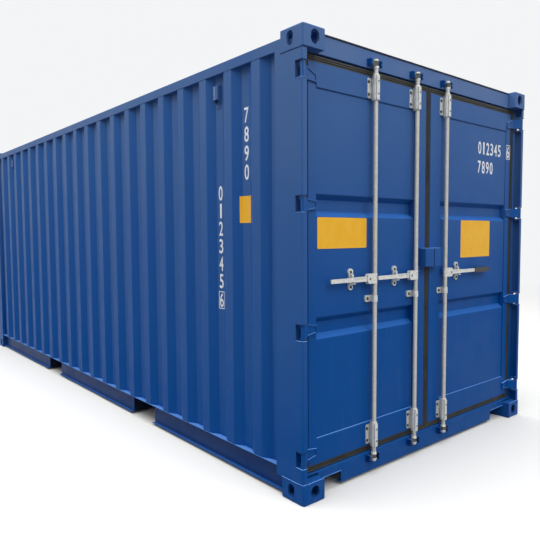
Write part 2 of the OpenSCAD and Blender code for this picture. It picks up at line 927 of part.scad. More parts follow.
module floor() {
    board_length = (floor_rear_x + beam_back_x - floor_boards * floor_joint) / floor_boards;
    board_width = bottom_web_y - floor_joint;
    color(timber)
        both_sides()
            for (k = [0 : floor_boards - 1])
                translate([-floor_rear_x + k * (board_length + floor_joint), floor_joint / 2, floor_base])
                    cube([board_length, board_width, floor_board]);
}

// Outline in X and Z of one cross member, channel open towards +X
module cross_outline() {
    square([cross_plate, cross_height]);
    square([cross_flange, cross_plate]);
    translate([0, cross_height - cross_plate])
        square([cross_flange, cross_plate]);
}

// Places of the cross members that stay clear of the fork pockets
cross_places = [for (k = [-cross_half_count : cross_half_count]) let (x = k * cross_pitch)
    if (min([for (p = pocket_places) abs(x + cross_flange / 2 - p)]) > pocket_width / 2 + cross_flange) x];

module floor_cross_members() {
    color(dark_paint)
        for (x = cross_places)
            translate([x, 0, cross_base])
                along_y(-bottom_web_y, bottom_web_y)
                    cross_outline();
}

// Outline in X and Z of one fork pocket hood, open at the bottom
module pocket_outline() {
    difference() {
        translate([-pocket_width / 2 - pocket_plate, floor_base - pocket_height - pocket_plate])
            square([pocket_width + 2 * pocket_plate, pocket_height + pocket_plate]);
        translate([-pocket_width / 2, floor_base - pocket_height - 2 * pocket_plate])
            square([pocket_width, pocket_height + pocket_plate]);
    }
}

module fork_pockets() {
    color(dark_paint)
        for (x = pocket_places)
            translate([x, 0, 0])
                along_y(-bottom_web_y, bottom_web_y)
                    pocket_outline();
}

// Box beam over the doors between the castings
module door_header() {
    color(paint)
        difference() {
            box([beam_back_x, -frame_half_y, top_casting_base], [header_face_x, frame_half_y, header_top]);
            box([beam_back_x + beam_plate, -frame_half_y - overrun, top_casting_base + beam_plate],
                [header_face_x - beam_plate, frame_half_y + overrun, header_top - beam_plate]);
        }
}

// Sill under the doors, open below, cut out beside the castings
module door_sill() {
    lip_x = sill_face_x - sill_lip;
    color(paint) {
        difference() {
            union() {
                box([sill_face_x - beam_plate, -frame_half_y, sill_bottom],
                    [sill_face_x, frame_half_y, sill_top]);
                box([beam_back_x, -post_inner_y, sill_top - beam_plate],
                    [sill_face_x, post_inner_y, sill_top]);
                box([beam_back_x, -bottom_web_y, sill_bottom],
                    [beam_back_x + beam_plate, bottom_web_y, floor_level]);
                box([lip_x, -frame_half_y, sill_bottom],
                    [sill_face_x, frame_half_y, sill_bottom + beam_plate]);
            }
            both_sides()
                box([beam_back_x + beam_plate + overrun, frame_half_y - sill_notch_length, 0],
                    [half_length, frame_half_y + overrun, sill_notch_top]);
            both_sides()
                box([beam_back_x - overrun, frame_half_y, 0], [half_length, half_width, casting_height]);
        }
        both_sides()
            box([lip_x, frame_half_y - sill_notch_length, sill_notch_top],
                [sill_face_x, frame_half_y, sill_notch_top + beam_plate]);
    }
}

module hinge_pins() {
    color(zinc)
        both_sides()
            for (row = hinge_rows)
                translate([pin_x, pin_y, row[0] - cutout_height / 2 - lug_plate])
                    cylinder(r = pin_radius, h = cutout_height + 2 * lug_plate);
}

// Side outline in X and Z of a keeper lug with two lobes, from the beam face outward
module keeper_lug_outline() {
    lobe = keeper_height / 4;
    translate([0, -keeper_height / 2])
        square([keeper_reach - lobe, keeper_height]);
    for (s = [-1, 1])
        translate([keeper_reach - lobe, s * lobe])
            circle(r = lobe);
}

// One cam keeper on a beam face at a given X: two lugs on feet, open to the outside
module cam_keeper(face_x, y, level) {
    translate([face_x, y, level])
        for (s = [0, 1])
            mirror([0, s, 0]) {
                along_y(keeper_half - keeper_lug, keeper_half)
                    keeper_lug_outline();
                box([0, keeper_half - keeper_lug, -keeper_height / 2],
                    [beam_plate, keeper_half + keeper_foot, keeper_height / 2]);
            }
}

module cam_keepers() {
    color(paint)
        for (y = rod_places) {
            cam_keeper(header_face_x, y, cam_upper + keeper_shift);
            cam_keeper(sill_face_x, y, cam_lower - keeper_shift);
        }
}

// Tube frame of one leaf at +Y
module leaf_frame() {
    inner = leaf_wall;
    difference() {
        box([leaf_back_x, leaf_inner_edge, leaf_bottom], [leaf_face_x, leaf_outer_edge, leaf_top]);
        box([leaf_back_x - overrun, panel_inner_y, panel_bottom],
            [leaf_face_x + overrun, panel_outer_y, panel_top]);
        box([leaf_back_x + inner, leaf_inner_edge + inner, leaf_bottom - overrun],
            [leaf_face_x - inner, panel_inner_y - inner, leaf_top + overrun]);
        box([leaf_back_x + inner, panel_outer_y + inner, leaf_bottom - overrun],
            [leaf_face_x - inner, leaf_outer_edge - inner, leaf_top + overrun]);
        box([leaf_back_x + inner, panel_inner_y - 2 * inner, leaf_bottom + inner],
            [leaf_face_x - inner, panel_outer_y + 2 * inner, panel_bottom - inner]);
        box([leaf_back_x + inner, panel_inner_y - 2 * inner, panel_top + inner],
            [leaf_face_x - inner, panel_outer_y + 2 * inner, leaf_top - inner]);
    }
}

// Points in X and Z of one groove of the panel, shifted inward by a distance
function groove_points(level, shift) = [
    [panel_face_x - shift, level - groove_height / 2],
    [panel_face_x - groove_depth - shift, level - groove_height / 2 + groove_slope],
    [panel_face_x - groove_depth - shift, level + groove_height / 2 - groove_slope],
    [panel_face_x - shift, level + groove_height / 2]];

// Points in X and Z of the outer face of the panel, shifted inward by a distance
function panel_line(shift) = concat(
    [[panel_face_x - shift, panel_bottom]],
    groove_points(groove_lower, shift),
    groove_points(groove_upper, shift),
    [[panel_face_x - shift, panel_top]]);

// Grooved sheet of one leaf at +Y
module leaf_panel() {
    along_y(panel_inner_y, panel_outer_y)
        polygon(concat(panel_line(0), reversed(panel_line(panel_sheet))));
}

// Corners in Y and Z of a frame around the leaf, from its edge at 0 to the gasket edge at 1
function ring_low(share) = [leaf_inner_edge + share * (centre_gap / 2 - leaf_inner_edge),
    leaf_bottom + share * (gasket_bottom - leaf_bottom)];
function ring_high(share) = [leaf_outer_edge + share * (gasket_outer_y - leaf_outer_edge),
    leaf_top + share * (gasket_top - leaf_top)];

// Rectangular ring around the leaf between two shares of the gasket width
module gasket_ring(from_x, to_x, inner, outer) {
    difference() {
        box(concat([from_x], ring_low(outer)), concat([to_x], ring_high(outer)));
        box(concat([from_x - overrun], ring_low(inner)), concat([to_x + overrun], ring_high(inner)));
    }
}

// Gasket of three lips around one leaf at +Y
module leaf_gasket() {
    difference() {
        gasket_ring(gasket_face_x - gasket_depth, gasket_face_x, 0, 1);
        for (middle = [1 / 3, 2 / 3])
            gasket_ring(gasket_face_x - lip_groove_depth, gasket_face_x + overrun,
                middle - lip_groove_share / 2, middle + lip_groove_share / 2);
    }
}

// Plan of the arm from the knuckle to the leaf face, from the pin, for a leaf at +Y
function arm_points() = let (face = leaf_face_x - pin_x, bend = knuckle_radius - 2 * pin_gap)
    [[bend / 2, -bend], [-bend, bend / 2], [face, -3 * knuckle_radius],
    [face, -4 * knuckle_radius - blade_plate], [face + blade_plate, -4 * knuckle_radius - blade_plate],
    [face + blade_plate, -4 * knuckle_radius]];

// Outline in Y and Z of a hinge blade from the pin, inset by a rim
module blade_outline(rim, drop) {
    root = 4 * knuckle_radius;
    tip = blade_reach - rim;
    polygon([[-root - rim, blade_height / 2 - rim], [-tip, blade_tip_height / 2 - rim - drop],
        [-tip, -blade_tip_height / 2 + rim - drop], [-root - rim, -blade_height / 2 + rim]]);
}

// One hinge at +Y with its knuckle, arm and tapered blade
module hinge_blade(level, drop) {
    translate([pin_x, pin_y, level])
        difference() {
            union() {
                translate([0, 0, -knuckle_height / 2])
                    cylinder(r = knuckle_radius, h = knuckle_height);
                translate([0, 0, -blade_height / 2])
                    linear_extrude(height = blade_height)
                        polygon(arm_points());
            }
            translate([0, 0, -knuckle_height])
                cylinder(r = pin_radius + pin_gap, h = 2 * knuckle_height);
        }
    translate([0, pin_y, level])
        difference() {
            along_x(leaf_face_x, leaf_face_x + blade_plate)
                blade_outline(0, drop);
            along_x(leaf_face_x + blade_plate - blade_pocket, leaf_face_x + blade_plate + overrun)
                blade_outline(blade_rim, drop);
        }
}

module leaf_hinges() {
    for (row = hinge_rows)
        hinge_blade(row[0], row[1]);
}

module left_door_frame() {
    color(paint)
        mirror([0, 1, 0])
            leaf_frame();
}

module right_door_frame() {
    color(paint)
        leaf_frame();
}

module left_door_panel() {
    color(paint)
        mirror([0, 1, 0])
            leaf_panel();
}

module right_door_panel() {
    color(paint)
        leaf_panel();
}

module left_door_gasket() {
    color(rubber)
        mirror([0, 1, 0])
            leaf_gasket();
}

module right_door_gasket() {
    color(rubber)
        leaf_gasket();
}

module left_door_hinges() {
    color(paint)
        mirror([0, 1, 0])
            leaf_hinges();
}

module right_door_hinges() {
    color(paint)
        leaf_hinges();
}

// Plan of a bearing about the rod axis: round sleeve on a web that stands on the foot plate
module sleeve_outline(radius) {
    difference() {
        union() {
            circle(r = radius);
            translate([leaf_face_x - rod_x, 0])
                square([rod_x - leaf_face_x, radius]);
        }
        circle(r = rod_radius + rod_gap);
    }
}

// Foot plate of a bearing on the leaf, reaching back by the depth of its foot
module foot_plate(reach, far_reach, height, foot, holes) {
    along_x(leaf_face_x - foot, leaf_face_x + bearing_plate)
        difference() {
            rounded_outline([-reach, -height / 2], [far_reach, height / 2], foot_corner);
            for (place = holes)
                translate(place)
                    circle(r = bolt_hole_radius);
        }
}

// Upper or lower bearing of a rod at Y with a clamp strip in front
module end_bearing(y, level) {
    bolt_z = foot_height / 2 - bolt_inset;
    translate([0, y, level]) {
        translate([rod_x, 0, -sleeve_height / 2])
            linear_extrude(height = sleeve_height)
                sleeve_outline(sleeve_radius);
        foot_plate(foot_reach, foot_return, foot_height, 0,
            [for (a = [-foot_reach + foot_corner, -foot_corner / 2]) for (b = [-bolt_z, bolt_z]) [a, b]]);
        difference() {
            translate([rod_x, 0, 0])
                box([rod_radius + rod_gap + overrun, strip_reach - strip_width, -sleeve_height / 2],
                    [sleeve_radius + strip_lift, strip_reach, sleeve_height / 2]);
            for (s = [-1, 1])
                translate([rod_x, strip_reach - bolt_hole_radius - strip_lift, s * bolt_z])
                    rotate([0, 90, 0])
                        cylinder(r = bolt_hole_radius, h = 2 * sleeve_radius);
        }
    }
}

// Middle guide of a rod at Y with two ears, its foot plate reaching back by the depth of its foot
module middle_guide(y, foot) {
    translate([0, y, guide_level]) {
        translate([rod_x, 0, -guide_height / 2])
            linear_extrude(height = guide_height)
                sleeve_outline(guide_radius);
        for (low = [-guide_height / 2, guide_height / 2 - guide_ear])
            box([leaf_face_x, guide_radius - overrun, low], [rod_x, guide_return, low + guide_ear]);
        foot_plate(guide_reach, guide_return, guide_height, foot, [[-guide_reach + guide_height / 2, 0]]);
    }
}

// All bearings of one rod, with the foot of the middle guide
module rod_bearings(y, foot) {
    end_bearing(y, upper_bearing);
    end_bearing(y, lower_bearing);
    middle_guide(y, foot);
}

// Handle retainer on the panel at Y: plate with two lobes, an arm behind and a shelf below the handle
module handle_retainer(y) {
    upper = retainer_rise - retainer_upper_lobe;
    lower = -retainer_fall + retainer_lower_lobe;
    arm_x = rod_x - handle_plate / 2 - retainer_gap;
    plate_x = leaf_face_x + bearing_plate;
    shelf_top = -handle_height / 2 - retainer_gap;
    translate([0, y, handle_level]) {
        along_x(panel_face_x, plate_x)
            difference() {
                union() {
                    translate([0, upper])
                        circle(r = retainer_upper_lobe);
                    translate([0, lower])
                        circle(r = retainer_lower_lobe);
                    translate([-retainer_arm, lower])
                        square([2 * retainer_arm, upper - lower]);
                }
                for (z = [lower, upper])
                    translate([0, z])
                        circle(r = retainer_hole);
            }
        along_y(-retainer_arm / 2, retainer_arm / 2)
            polygon([[plate_x - overrun, upper - retainer_hole], [plate_x - overrun, handle_height],
                [arm_x - bearing_plate, 0], [arm_x, 0], [arm_x, handle_height]]);
        box([panel_face_x, -retainer_arm, shelf_top - bearing_plate], [rod_x, retainer_arm, shelf_top]);
    }
}

module left_lock_brackets() {
    color(zinc)
        for (y = [-outer_rod, -inner_rod]) {
            rod_bearings(y, panel_recess);
            handle_retainer(y - retainer_from_rod);
        }
}

module right_lock_brackets() {
    color(zinc) {
        rod_bearings(inner_rod, 0);
        handle_retainer(inner_rod + retainer_from_rod);
    }
}

// Part of the lock cover between two values of Y, open at the bottom and at the middle
module lock_cover(from, to, open_low, open_high) {
    top = cover_bottom + cover_height;
    difference() {
        box([leaf_face_x, from, cover_bottom], [cover_face_x, to, top]);
        box([leaf_face_x - overrun, from + (open_low ? -overrun : cover_plate), cover_bottom - overrun],
            [cover_face_x - cover_plate, to + (open_high ? overrun : -cover_plate), top - cover_plate]);
    }
}

// Left half of the lock cover with the lug below its outer edge
module left_lock_cover() {
    lug_left = -cover_left - cover_lug_offset;
    color(paint) {
        lock_cover(-cover_left, -centre_gap / 2, false, true);
        along_x(leaf_face_x, leaf_face_x + cover_lug_plate)
            difference() {
                rounded_outline([lug_left, cover_bottom - cover_lug_height],
                    [lug_left + cover_lug_width, cover_bottom + overrun], foot_corner);
                translate([lug_left + cover_lug_width / 2, cover_bottom - cover_lug_height / 2])
                    circle(r = retainer_hole);
            }
    }
}

module right_lock_cover() {
    color(paint)
        lock_cover(centre_gap / 2, cover_right, true, false);
}

// Cam about its middle: two stepped discs, a waist and the nose towards the given side
module rod_cam(side) {
    for (s = [0, 1])
        mirror([0, 0, s])
            translate([0, 0, cam_waist / 2]) {
                bevelled_disc(cam_radius, cam_disc - cam_ring, cam_bevel);
                bevelled_disc(cam_radius - cam_bevel / 2, cam_disc, cam_bevel);
            }
    translate([0, 0, -cam_waist / 2])
        linear_extrude(height = cam_waist)
            union() {
                circle(r = rod_radius + fork_wall);
                translate([-nose_radius, side > 0 ? 0 : nose_radius - cam_reach])
                    square([2 * nose_radius, cam_reach - nose_radius]);
                translate([0, side * (cam_reach - nose_radius)])
                    circle(r = nose_radius);
            }
}

// Side outline of a fork cheek from the rod axis, with round outer corners
module cheek_outline() {
    intersection() {
        rounded_outline([-fork_corner, -fork_height / 2], [fork_reach, fork_height / 2], fork_corner);
        translate([0, -fork_height / 2])
            square([fork_reach, fork_height]);
    }
}

// Fork for a handle on a rod, towards +Y, with its pivot pin
module handle_fork() {
    translate([0, 0, -fork_height / 2])
        cylinder(r = rod_radius + fork_wall, h = fork_height);
    for (x = [-cheek_inner - cheek_plate, cheek_inner])
        along_x(x, x + cheek_plate)
            cheek_outline();
    for (s = [-1, 1])
        translate([0, handle_pivot, 0])
            rotate([0, s * 90, 0])
                bevelled_disc(pivot_radius, cheek_inner + cheek_plate + pivot_radius / 2, pivot_radius / 3);
}

// One lock rod at Y with its cams, collars and the fork for the handle towards the given side
module lock_rod(y, side) {
    translate([rod_x, y, 0]) {
        translate([0, 0, cam_lower - cam_half - cam_cap])
            cylinder(r = rod_radius, h = cam_upper - cam_lower + 2 * (cam_half + cam_cap));
        for (level = [lower_bearing, upper_bearing])
            translate([0, 0, level + sleeve_height / 2 + collar_gap])
                bevelled_disc(collar_radius, collar_height, collar_height / 5);
        for (level = [cam_lower, cam_upper])
            translate([0, 0, level])
                rod_cam(side);
        translate([0, 0, handle_level])
            mirror([0, side > 0 ? 0 : 1, 0])
                handle_fork();
    }
}

module lock_rod_1() {
    color(zinc)
        lock_rod(-outer_rod, -1);
}

module lock_rod_2() {
    color(zinc)
        lock_rod(-inner_rod, -1);
}

module lock_rod_3() {
    color(zinc)
        lock_rod(inner_rod, 1);
}

// Side outline of a handle from the rod axis: eye, thick part and thin part
module handle_outline(reach) {
    step_end = handle_step + (handle_height - handle_end_height);
    translate([handle_pivot, 0])
        circle(d = handle_height);
    translate([handle_pivot, -handle_height / 2])
        square([handle_step - handle_pivot, handle_height]);
    polygon([[handle_step, -handle_height / 2], [step_end, -handle_end_height / 2],
        [step_end, handle_end_height / 2], [handle_step, handle_height / 2]]);
    rounded_outline([handle_step, -handle_end_height / 2], [reach, handle_end_height / 2],
        handle_end_height / 4);
}

// One handle bar towards the given side of its rod at Y
module lock_handle(y, side, reach) {
    translate([rod_x - handle_plate / 2, y, handle_level])
        mirror([0, side > 0 ? 0 : 1, 0])
            difference() {
                along_x(0, handle_plate)
                    handle_outline(reach);
                translate([-overrun, handle_pivot, 0])
                    rotate([0, 90, 0])
                        cylinder(r = pivot_radius + pivot_gap, h = handle_plate + 2 * overrun);
                along_x(handle_plate - handle_recess, handle_plate + overrun)
                    translate([(fork_reach + handle_step) / 2, 0])
                        slot_outline(handle_step - fork_reach - handle_height / 2, handle_height / 2);
            }
}

module lock_handle_1() {
    color(zinc)
        lock_handle(-outer_rod, -1, handle_reach);
}

module lock_handle_2() {
    color(zinc)
        lock_handle(-inner_rod, -1, handle_reach);
}

module lock_handle_3() {
    color(zinc)
        lock_handle(inner_rod, 1, grip_reach - grip_height / 2);
}

// Closed sleeve pushed over the end of the long handle
module handle_grip() {
    color(rubber)
        translate([rod_x, inner_rod, handle_level])
            difference() {
                along_x(-grip_thickness / 2, grip_thickness / 2)
                    rounded_outline([grip_start, -grip_height / 2], [grip_reach, grip_height / 2],
                        grip_height / 4);
                along_x(-handle_plate / 2, handle_plate / 2)
                    rounded_outline([grip_start - handle_height, -handle_end_height / 2],
                        [grip_reach - grip_height / 2, handle_end_height / 2], handle_end_height / 4);
            }
}

bottom_corner_castings();
top_corner_castings();
front_corner_posts();
rear_corner_posts();
top_side_rails();
bottom_side_rails();
left_side_wall();
right_side_wall();
side_vents();
roof();
rear_end_wall();
rear_top_rail();
rear_bottom_rail();
floor();
floor_cross_members();
fork_pockets();
door_header();
door_sill();
hinge_pins();
cam_keepers();
left_door_frame();
left_door_panel();
left_door_gasket();
left_door_hinges();
left_lock_brackets();
right_door_frame();
right_door_panel();
right_door_gasket();
right_door_hinges();
right_lock_brackets();
left_lock_cover();
right_lock_cover();
lock_rod_1();
lock_rod_2();
lock_rod_3();
lock_handle_1();
lock_handle_2();
lock_handle_3();
handle_grip();
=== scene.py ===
"""Looks of a twenty foot steel cargo container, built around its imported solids."""

import json
import logging
import math
from dataclasses import dataclass, field
from enum import Enum
from typing import Callable, Optional, Sequence, Union

import bmesh
import bpy
from mathutils import Matrix, Vector

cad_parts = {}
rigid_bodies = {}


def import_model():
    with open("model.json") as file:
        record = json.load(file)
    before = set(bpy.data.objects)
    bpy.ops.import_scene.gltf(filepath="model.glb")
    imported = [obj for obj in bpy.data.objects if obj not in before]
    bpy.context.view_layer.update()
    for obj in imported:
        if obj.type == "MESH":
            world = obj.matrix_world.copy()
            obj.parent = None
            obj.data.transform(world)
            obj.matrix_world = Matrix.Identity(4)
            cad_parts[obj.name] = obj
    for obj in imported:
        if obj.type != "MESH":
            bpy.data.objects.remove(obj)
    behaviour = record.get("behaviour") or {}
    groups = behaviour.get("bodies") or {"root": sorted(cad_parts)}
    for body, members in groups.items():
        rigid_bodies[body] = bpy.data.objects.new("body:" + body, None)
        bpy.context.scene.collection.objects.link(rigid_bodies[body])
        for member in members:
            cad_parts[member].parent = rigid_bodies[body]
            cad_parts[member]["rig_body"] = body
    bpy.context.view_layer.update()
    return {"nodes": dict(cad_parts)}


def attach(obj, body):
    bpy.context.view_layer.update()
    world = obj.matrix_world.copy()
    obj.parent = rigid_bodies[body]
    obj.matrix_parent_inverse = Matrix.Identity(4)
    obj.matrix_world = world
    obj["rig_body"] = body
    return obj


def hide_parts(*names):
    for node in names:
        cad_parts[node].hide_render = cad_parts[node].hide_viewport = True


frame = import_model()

MM = 0.001
LOG = logging.getLogger("container")

Point = Sequence[float]
Colour = tuple[float, float, float, float]

# Sizes that several sub-assemblies share, in millimetres, as the solids have them
HALF_LENGTH = 3029.0
HALF_WIDTH = 1219.0
CASTING_LENGTH = 178.0
CASTING_WIDTH = 162.0
CASTING_HEIGHT = 118.0
TOP_CASTING_BASE = 2473.0
CAD_TOP = 2591.0
POST_FACE_X = 3023.0
POST_FRONT_INNER_X = 2803.0
POST_REAR_INNER_X = 2833.0
LEAF_FACE_X = 2962.0
PANEL_FACE_X = 2956.0
WALL_BASE = 170.0
WALL_TOP = 2490.0
WALL_FACE_Y = 1214.0
WALL_DEPTH = 36.0
WALL_PITCH = 275.5
WALL_SHIFT = 10.0
WALL_CREST = 72.0
WALL_SLOPE = 66.75
WALL_CRESTS = 20
SHEET = 2.0
ROD_X = 2995.0
ROD_PLACES = (-588.0, -172.0, 172.0)
TUBE_RADIUS = 13.5
HINGE_LEVELS = (252.0, 958.0, 1652.0, 2358.0)
HANDLE_LEVEL = 1221.0


def srgb(code: str) -> Colour:
    """Turns an sRGB hex colour to linear light.

    Args:
        code: Colour such as "#1d4c8c".

    Returns:
        Red, green, blue and alpha, linear.
    """
    parts = [int(code[i : i + 2], 16) / 255 for i in (1, 3, 5)]
    linear = [c / 12.92 if c <= 0.04045 else ((c + 0.055) / 1.055) ** 2.4 for c in parts]
    return (linear[0], linear[1], linear[2], 1.0)


def per_mm(size: float) -> float:
    """Gives the texture scale whose features are about a size in millimetres."""
    return 1.0 / (size * MM)


def add_node(
    tree: bpy.types.NodeTree,
    kind: str,
    values: Optional[dict] = None,
    links: Optional[dict] = None,
    **settings: object,
) -> bpy.types.Node:
    """Adds a node with its settings, its socket values and what is linked to it.

    Args:
        tree: Node tree that takes the node.
        kind: Blender's type name of the node.
        values: Values by input name or index.
        links: Output sockets by input name or index.
        settings: Attributes of the node itself.

    Returns:
        The new node.
    """
    node = tree.nodes.new(kind)
    for name, value in settings.items():
        setattr(node, name, value)
    for key, value in (values or {}).items():
        node.inputs[key].default_value = value
    for key, output in (links or {}).items():
        for one in output if isinstance(output, (list, tuple)) else [output]:
            tree.links.new(one, node.inputs[key])
    return node


class Mix:
    """Socket places of the mix node when it mixes colours."""

    FACTOR, LOW, HIGH, RESULT = 0, 6, 7, 2


class Slot(Enum):
    """Material slots of the record."""

    BLUE = "blue_paint"
    DARK_BLUE = "dark_blue_paint"
    ZINC = "galvanised_steel"
    RUBBER = "seal_rubber"
    PLYWOOD = "plywood"


class Side(Enum):
    """Side of the container, with the sign of its Y."""

    LEFT = -1
    RIGHT = 1


# Finishes


@dataclass(frozen=True)
class Finish:
    """Start of a finish: a principled shader on object coordinates, made once under its name."""

    name: str = "plain"
    slot: Slot = Slot.BLUE
    roughness: float = 0.5
    metallic: float = 0.0
    specular: float = 0.5

    def material(self) -> bpy.types.Material:
        """Gives the material of this finish, made at its first use."""
        known = bpy.data.materials.get(self.name)
        if known is not None:
            return known
        material = bpy.data.materials.new(self.name)
        material.use_nodes = True
        tree = material.node_tree
        tree.nodes.clear()
        shader = add_node(
            tree,
            "ShaderNodeBsdfPrincipled",
            {
                "Roughness": self.roughness,
                "Metallic": self.metallic,
                "Specular IOR Level": self.specular,
            },
        )
        add_node(tree, "ShaderNodeOutputMaterial", links={"Surface": shader.outputs["BSDF"]})
        place = add_node(tree, "ShaderNodeTexCoord").outputs["Object"]
        self.dress(tree, shader, place)
        return material

    def dress(
        self, tree: bpy.types.NodeTree, shader: bpy.types.Node, place: bpy.types.NodeSocket
    ) -> None:
        """Adds the colour, roughness and bump of the finish."""

    def noise(
        self,
        tree: bpy.types.NodeTree,
        place: bpy.types.NodeSocket,
        size: float,
        stretch: Point = (1.0, 1.0, 1.0),
        detail: float = 4.0,
    ) -> bpy.types.NodeSocket:
        """Adds a noise pattern.

        Args:
            tree: Material's tree.
            place: Coordinates.
            size: Size of a feature in millimetres.
            stretch: Factors on the coordinates, below 1 where features are drawn out.
            detail: Octaves of the noise.

        Returns:
            The pattern's value, around 0.5.
        """
        mapping = add_node(
            tree, "ShaderNodeMapping", {"Scale": tuple(stretch)}, {"Vector": place}
        )
        texture = add_node(
            tree,
            "ShaderNodeTexNoise",
            {"Scale": per_mm(size), "Detail": detail, "Roughness": 0.55},
            {"Vector": mapping.outputs["Vector"]},
        )
        return texture.outputs["Fac"]

    def ramp(
        self,
        tree: bpy.types.NodeTree,
        value: bpy.types.NodeSocket,
        source: tuple[float, float],
        target: tuple[float, float],
    ) -> bpy.types.NodeSocket:
        """Maps a value from one range to another, held at both ends."""
        node = add_node(
            tree,
            "ShaderNodeMapRange",
            {1: source[0], 2: source[1], 3: target[0], 4: target[1]},
            {0: value},
            clamp=True,
        )
        return node.outputs["Result"]

    def blend(
        self,
        tree: bpy.types.NodeTree,
        factor: bpy.types.NodeSocket,
        low: Union[str, bpy.types.NodeSocket],
        high: Union[str, bpy.types.NodeSocket],
    ) -> bpy.types.NodeSocket:
        """Mixes two colours, each an sRGB hex code or a socket."""
        node = add_node(tree, "ShaderNodeMix", links={Mix.FACTOR: factor}, data_type="RGBA")
        for key, side in ((Mix.LOW, low), (Mix.HIGH, high)):
            if isinstance(side, str):
                node.inputs[key].default_value = srgb(side)
            else:
                tree.links.new(side, node.inputs[key])
        return node.outputs[Mix.RESULT]

    def relief(
        self,
        tree: bpy.types.NodeTree,
        height: bpy.types.NodeSocket,
        depth: float,
        normal: Optional[bpy.types.NodeSocket] = None,
    ) -> bpy.types.NodeSocket:
        """Adds a bump of a depth in millimetres, over another one where given."""
        node = add_node(
            tree,
            "ShaderNodeBump",
            {"Strength": 1.0, "Distance": depth * MM},
            {"Height": height},
        )
        if normal is not None:
            tree.links.new(normal, node.inputs["Normal"])
        return node.outputs["Normal"]


@dataclass(frozen=True)
class ContainerPaint(Finish):
    """Polyurethane enamel sprayed on blasted steel.

    The eye gets a deep blue with a soft gloss. Towards the top its colour is painted lighter and greyer, most
    where the
    steel faces squarely outward: a painted sky sheen, which the slopes keep less of, as painted shade. What
    looks up is painted lighter, as painted light from above. There are sheet waves in the reflections, a
    faint orange peel, rain streaks and a little road dust at the foot.
    """

    name: str = "polyurethane_enamel_sprayed"
    roughness: float = 0.42
    specular: float = 0.08
    colour: str = "#004991"
    # Colour of the painted sky sheen at the top, and the heights over which it grows
    chalked: str = "#4d6b99"
    painted_sheen_from: float = 0.3
    painted_sheen_to: float = 2.75
    cloud: str = "#0c4c98"
    streak: str = "#44669c"
    streak_amount: float = 0.22
    # Colour and share of the painted light from above, on faces that look up
    top_light_colour: str = "#4d8ce4"
    top_light_amount: float = 0.42
    # Share of the painted sheen that the slopes keep; their darker tone is painted shade
    slope_sheen_share: float = 0.35
    dust: str = "#7f8a97"
    dusty_up_to: float = 0.30
    dust_amount: float = 0.07

    def dress(
        self, tree: bpy.types.NodeTree, shader: bpy.types.Node, place: bpy.types.NodeSocket
    ) -> None:
        """Adds the painted sky sheen towards the top, clouds, rain streaks, painted light on what looks up,
        dust, orange peel and sheet waves.
        """
        height = add_node(tree, "ShaderNodeSeparateXYZ", links={0: place}).outputs["Z"]
        normal = add_node(tree, "ShaderNodeNewGeometry").outputs["Normal"]
        way = add_node(tree, "ShaderNodeSeparateXYZ", links={0: normal}).outputs
        # Lighter and greyer towards the top, least on the slopes: painted sky sheen, with painted shade on
        # the slopes
        sheen = self.ramp(tree, height, (self.painted_sheen_from, self.painted_sheen_to), (0.0, 1.0))
        facing_share = self.ramp(tree, self.squareness(tree, way), (0.87, 0.97), (self.slope_sheen_share, 1.0))
        sheen = add_node(tree, "ShaderNodeMath", links={0: sheen, 1: facing_share}, operation="MULTIPLY")
        colour = self.blend(tree, sheen.outputs[0], self.colour, self.chalked)
        cloud = self.ramp(tree, self.noise(tree, place, 700.0), (0.35, 0.7), (0.0, 0.3))
        colour = self.blend(tree, cloud, colour, self.cloud)
        rain = self.noise(tree, place, 26.0, (1.0, 1.0, 0.03), 3.0)
        rain = self.ramp(tree, rain, (0.60, 0.82), (0.0, self.streak_amount))
        colour = self.blend(tree, rain, colour, self.streak)
        # Faces that look up turn lighter: painted light from above
        top_light = self.ramp(tree, way["Z"], (0.25, 0.8), (0.0, self.top_light_amount))
        colour = self.blend(tree, top_light, colour, self.top_light_colour)
        low = self.ramp(tree, height, (0.0, self.dusty_up_to), (self.dust_amount, 0.01))
        patch = self.ramp(tree, self.noise(tree, place, 60.0), (0.38, 0.72), (0.15, 1.0))
        film = add_node(tree, "ShaderNodeMath", links={0: low, 1: patch}, operation="MULTIPLY")
        colour = self.blend(tree, film.outputs[0], colour, self.dust)
        tree.links.new(colour, shader.inputs["Base Color"])
        gloss = self.ramp(
            tree,
            self.noise(tree, place, 150.0),
            (0.3, 0.7),
            (self.roughness - 0.04, self.roughness + 0.08),
        )
        tree.links.new(gloss, shader.inputs["Roughness"])
        # Orange peel is 1 to 2 mm wide on the real paint and drawn at 7 mm so that it shows
        peel = self.relief(tree, self.noise(tree, place, 7.0, detail=1.0), 0.08)
        waves = self.noise(tree, place, 240.0, (1.0, 1.0, 0.5), 1.0)
        tree.links.new(self.relief(tree, waves, 2.0, peel), shader.inputs["Normal"])

    def squareness(self, tree: bpy.types.NodeTree, way: object) -> bpy.types.NodeSocket:
        """Gives 1 where a face looks straight to a side of the container, and less on its slopes."""
        sizes = [
            add_node(tree, "ShaderNodeMath", links={0: way[axis]}, operation="ABSOLUTE").outputs[0]
            for axis in "XY"
        ]
        return add_node(
            tree, "ShaderNodeMath", links={0: sizes[0], 1: sizes[1]}, operation="MAXIMUM"
        ).outputs[0]


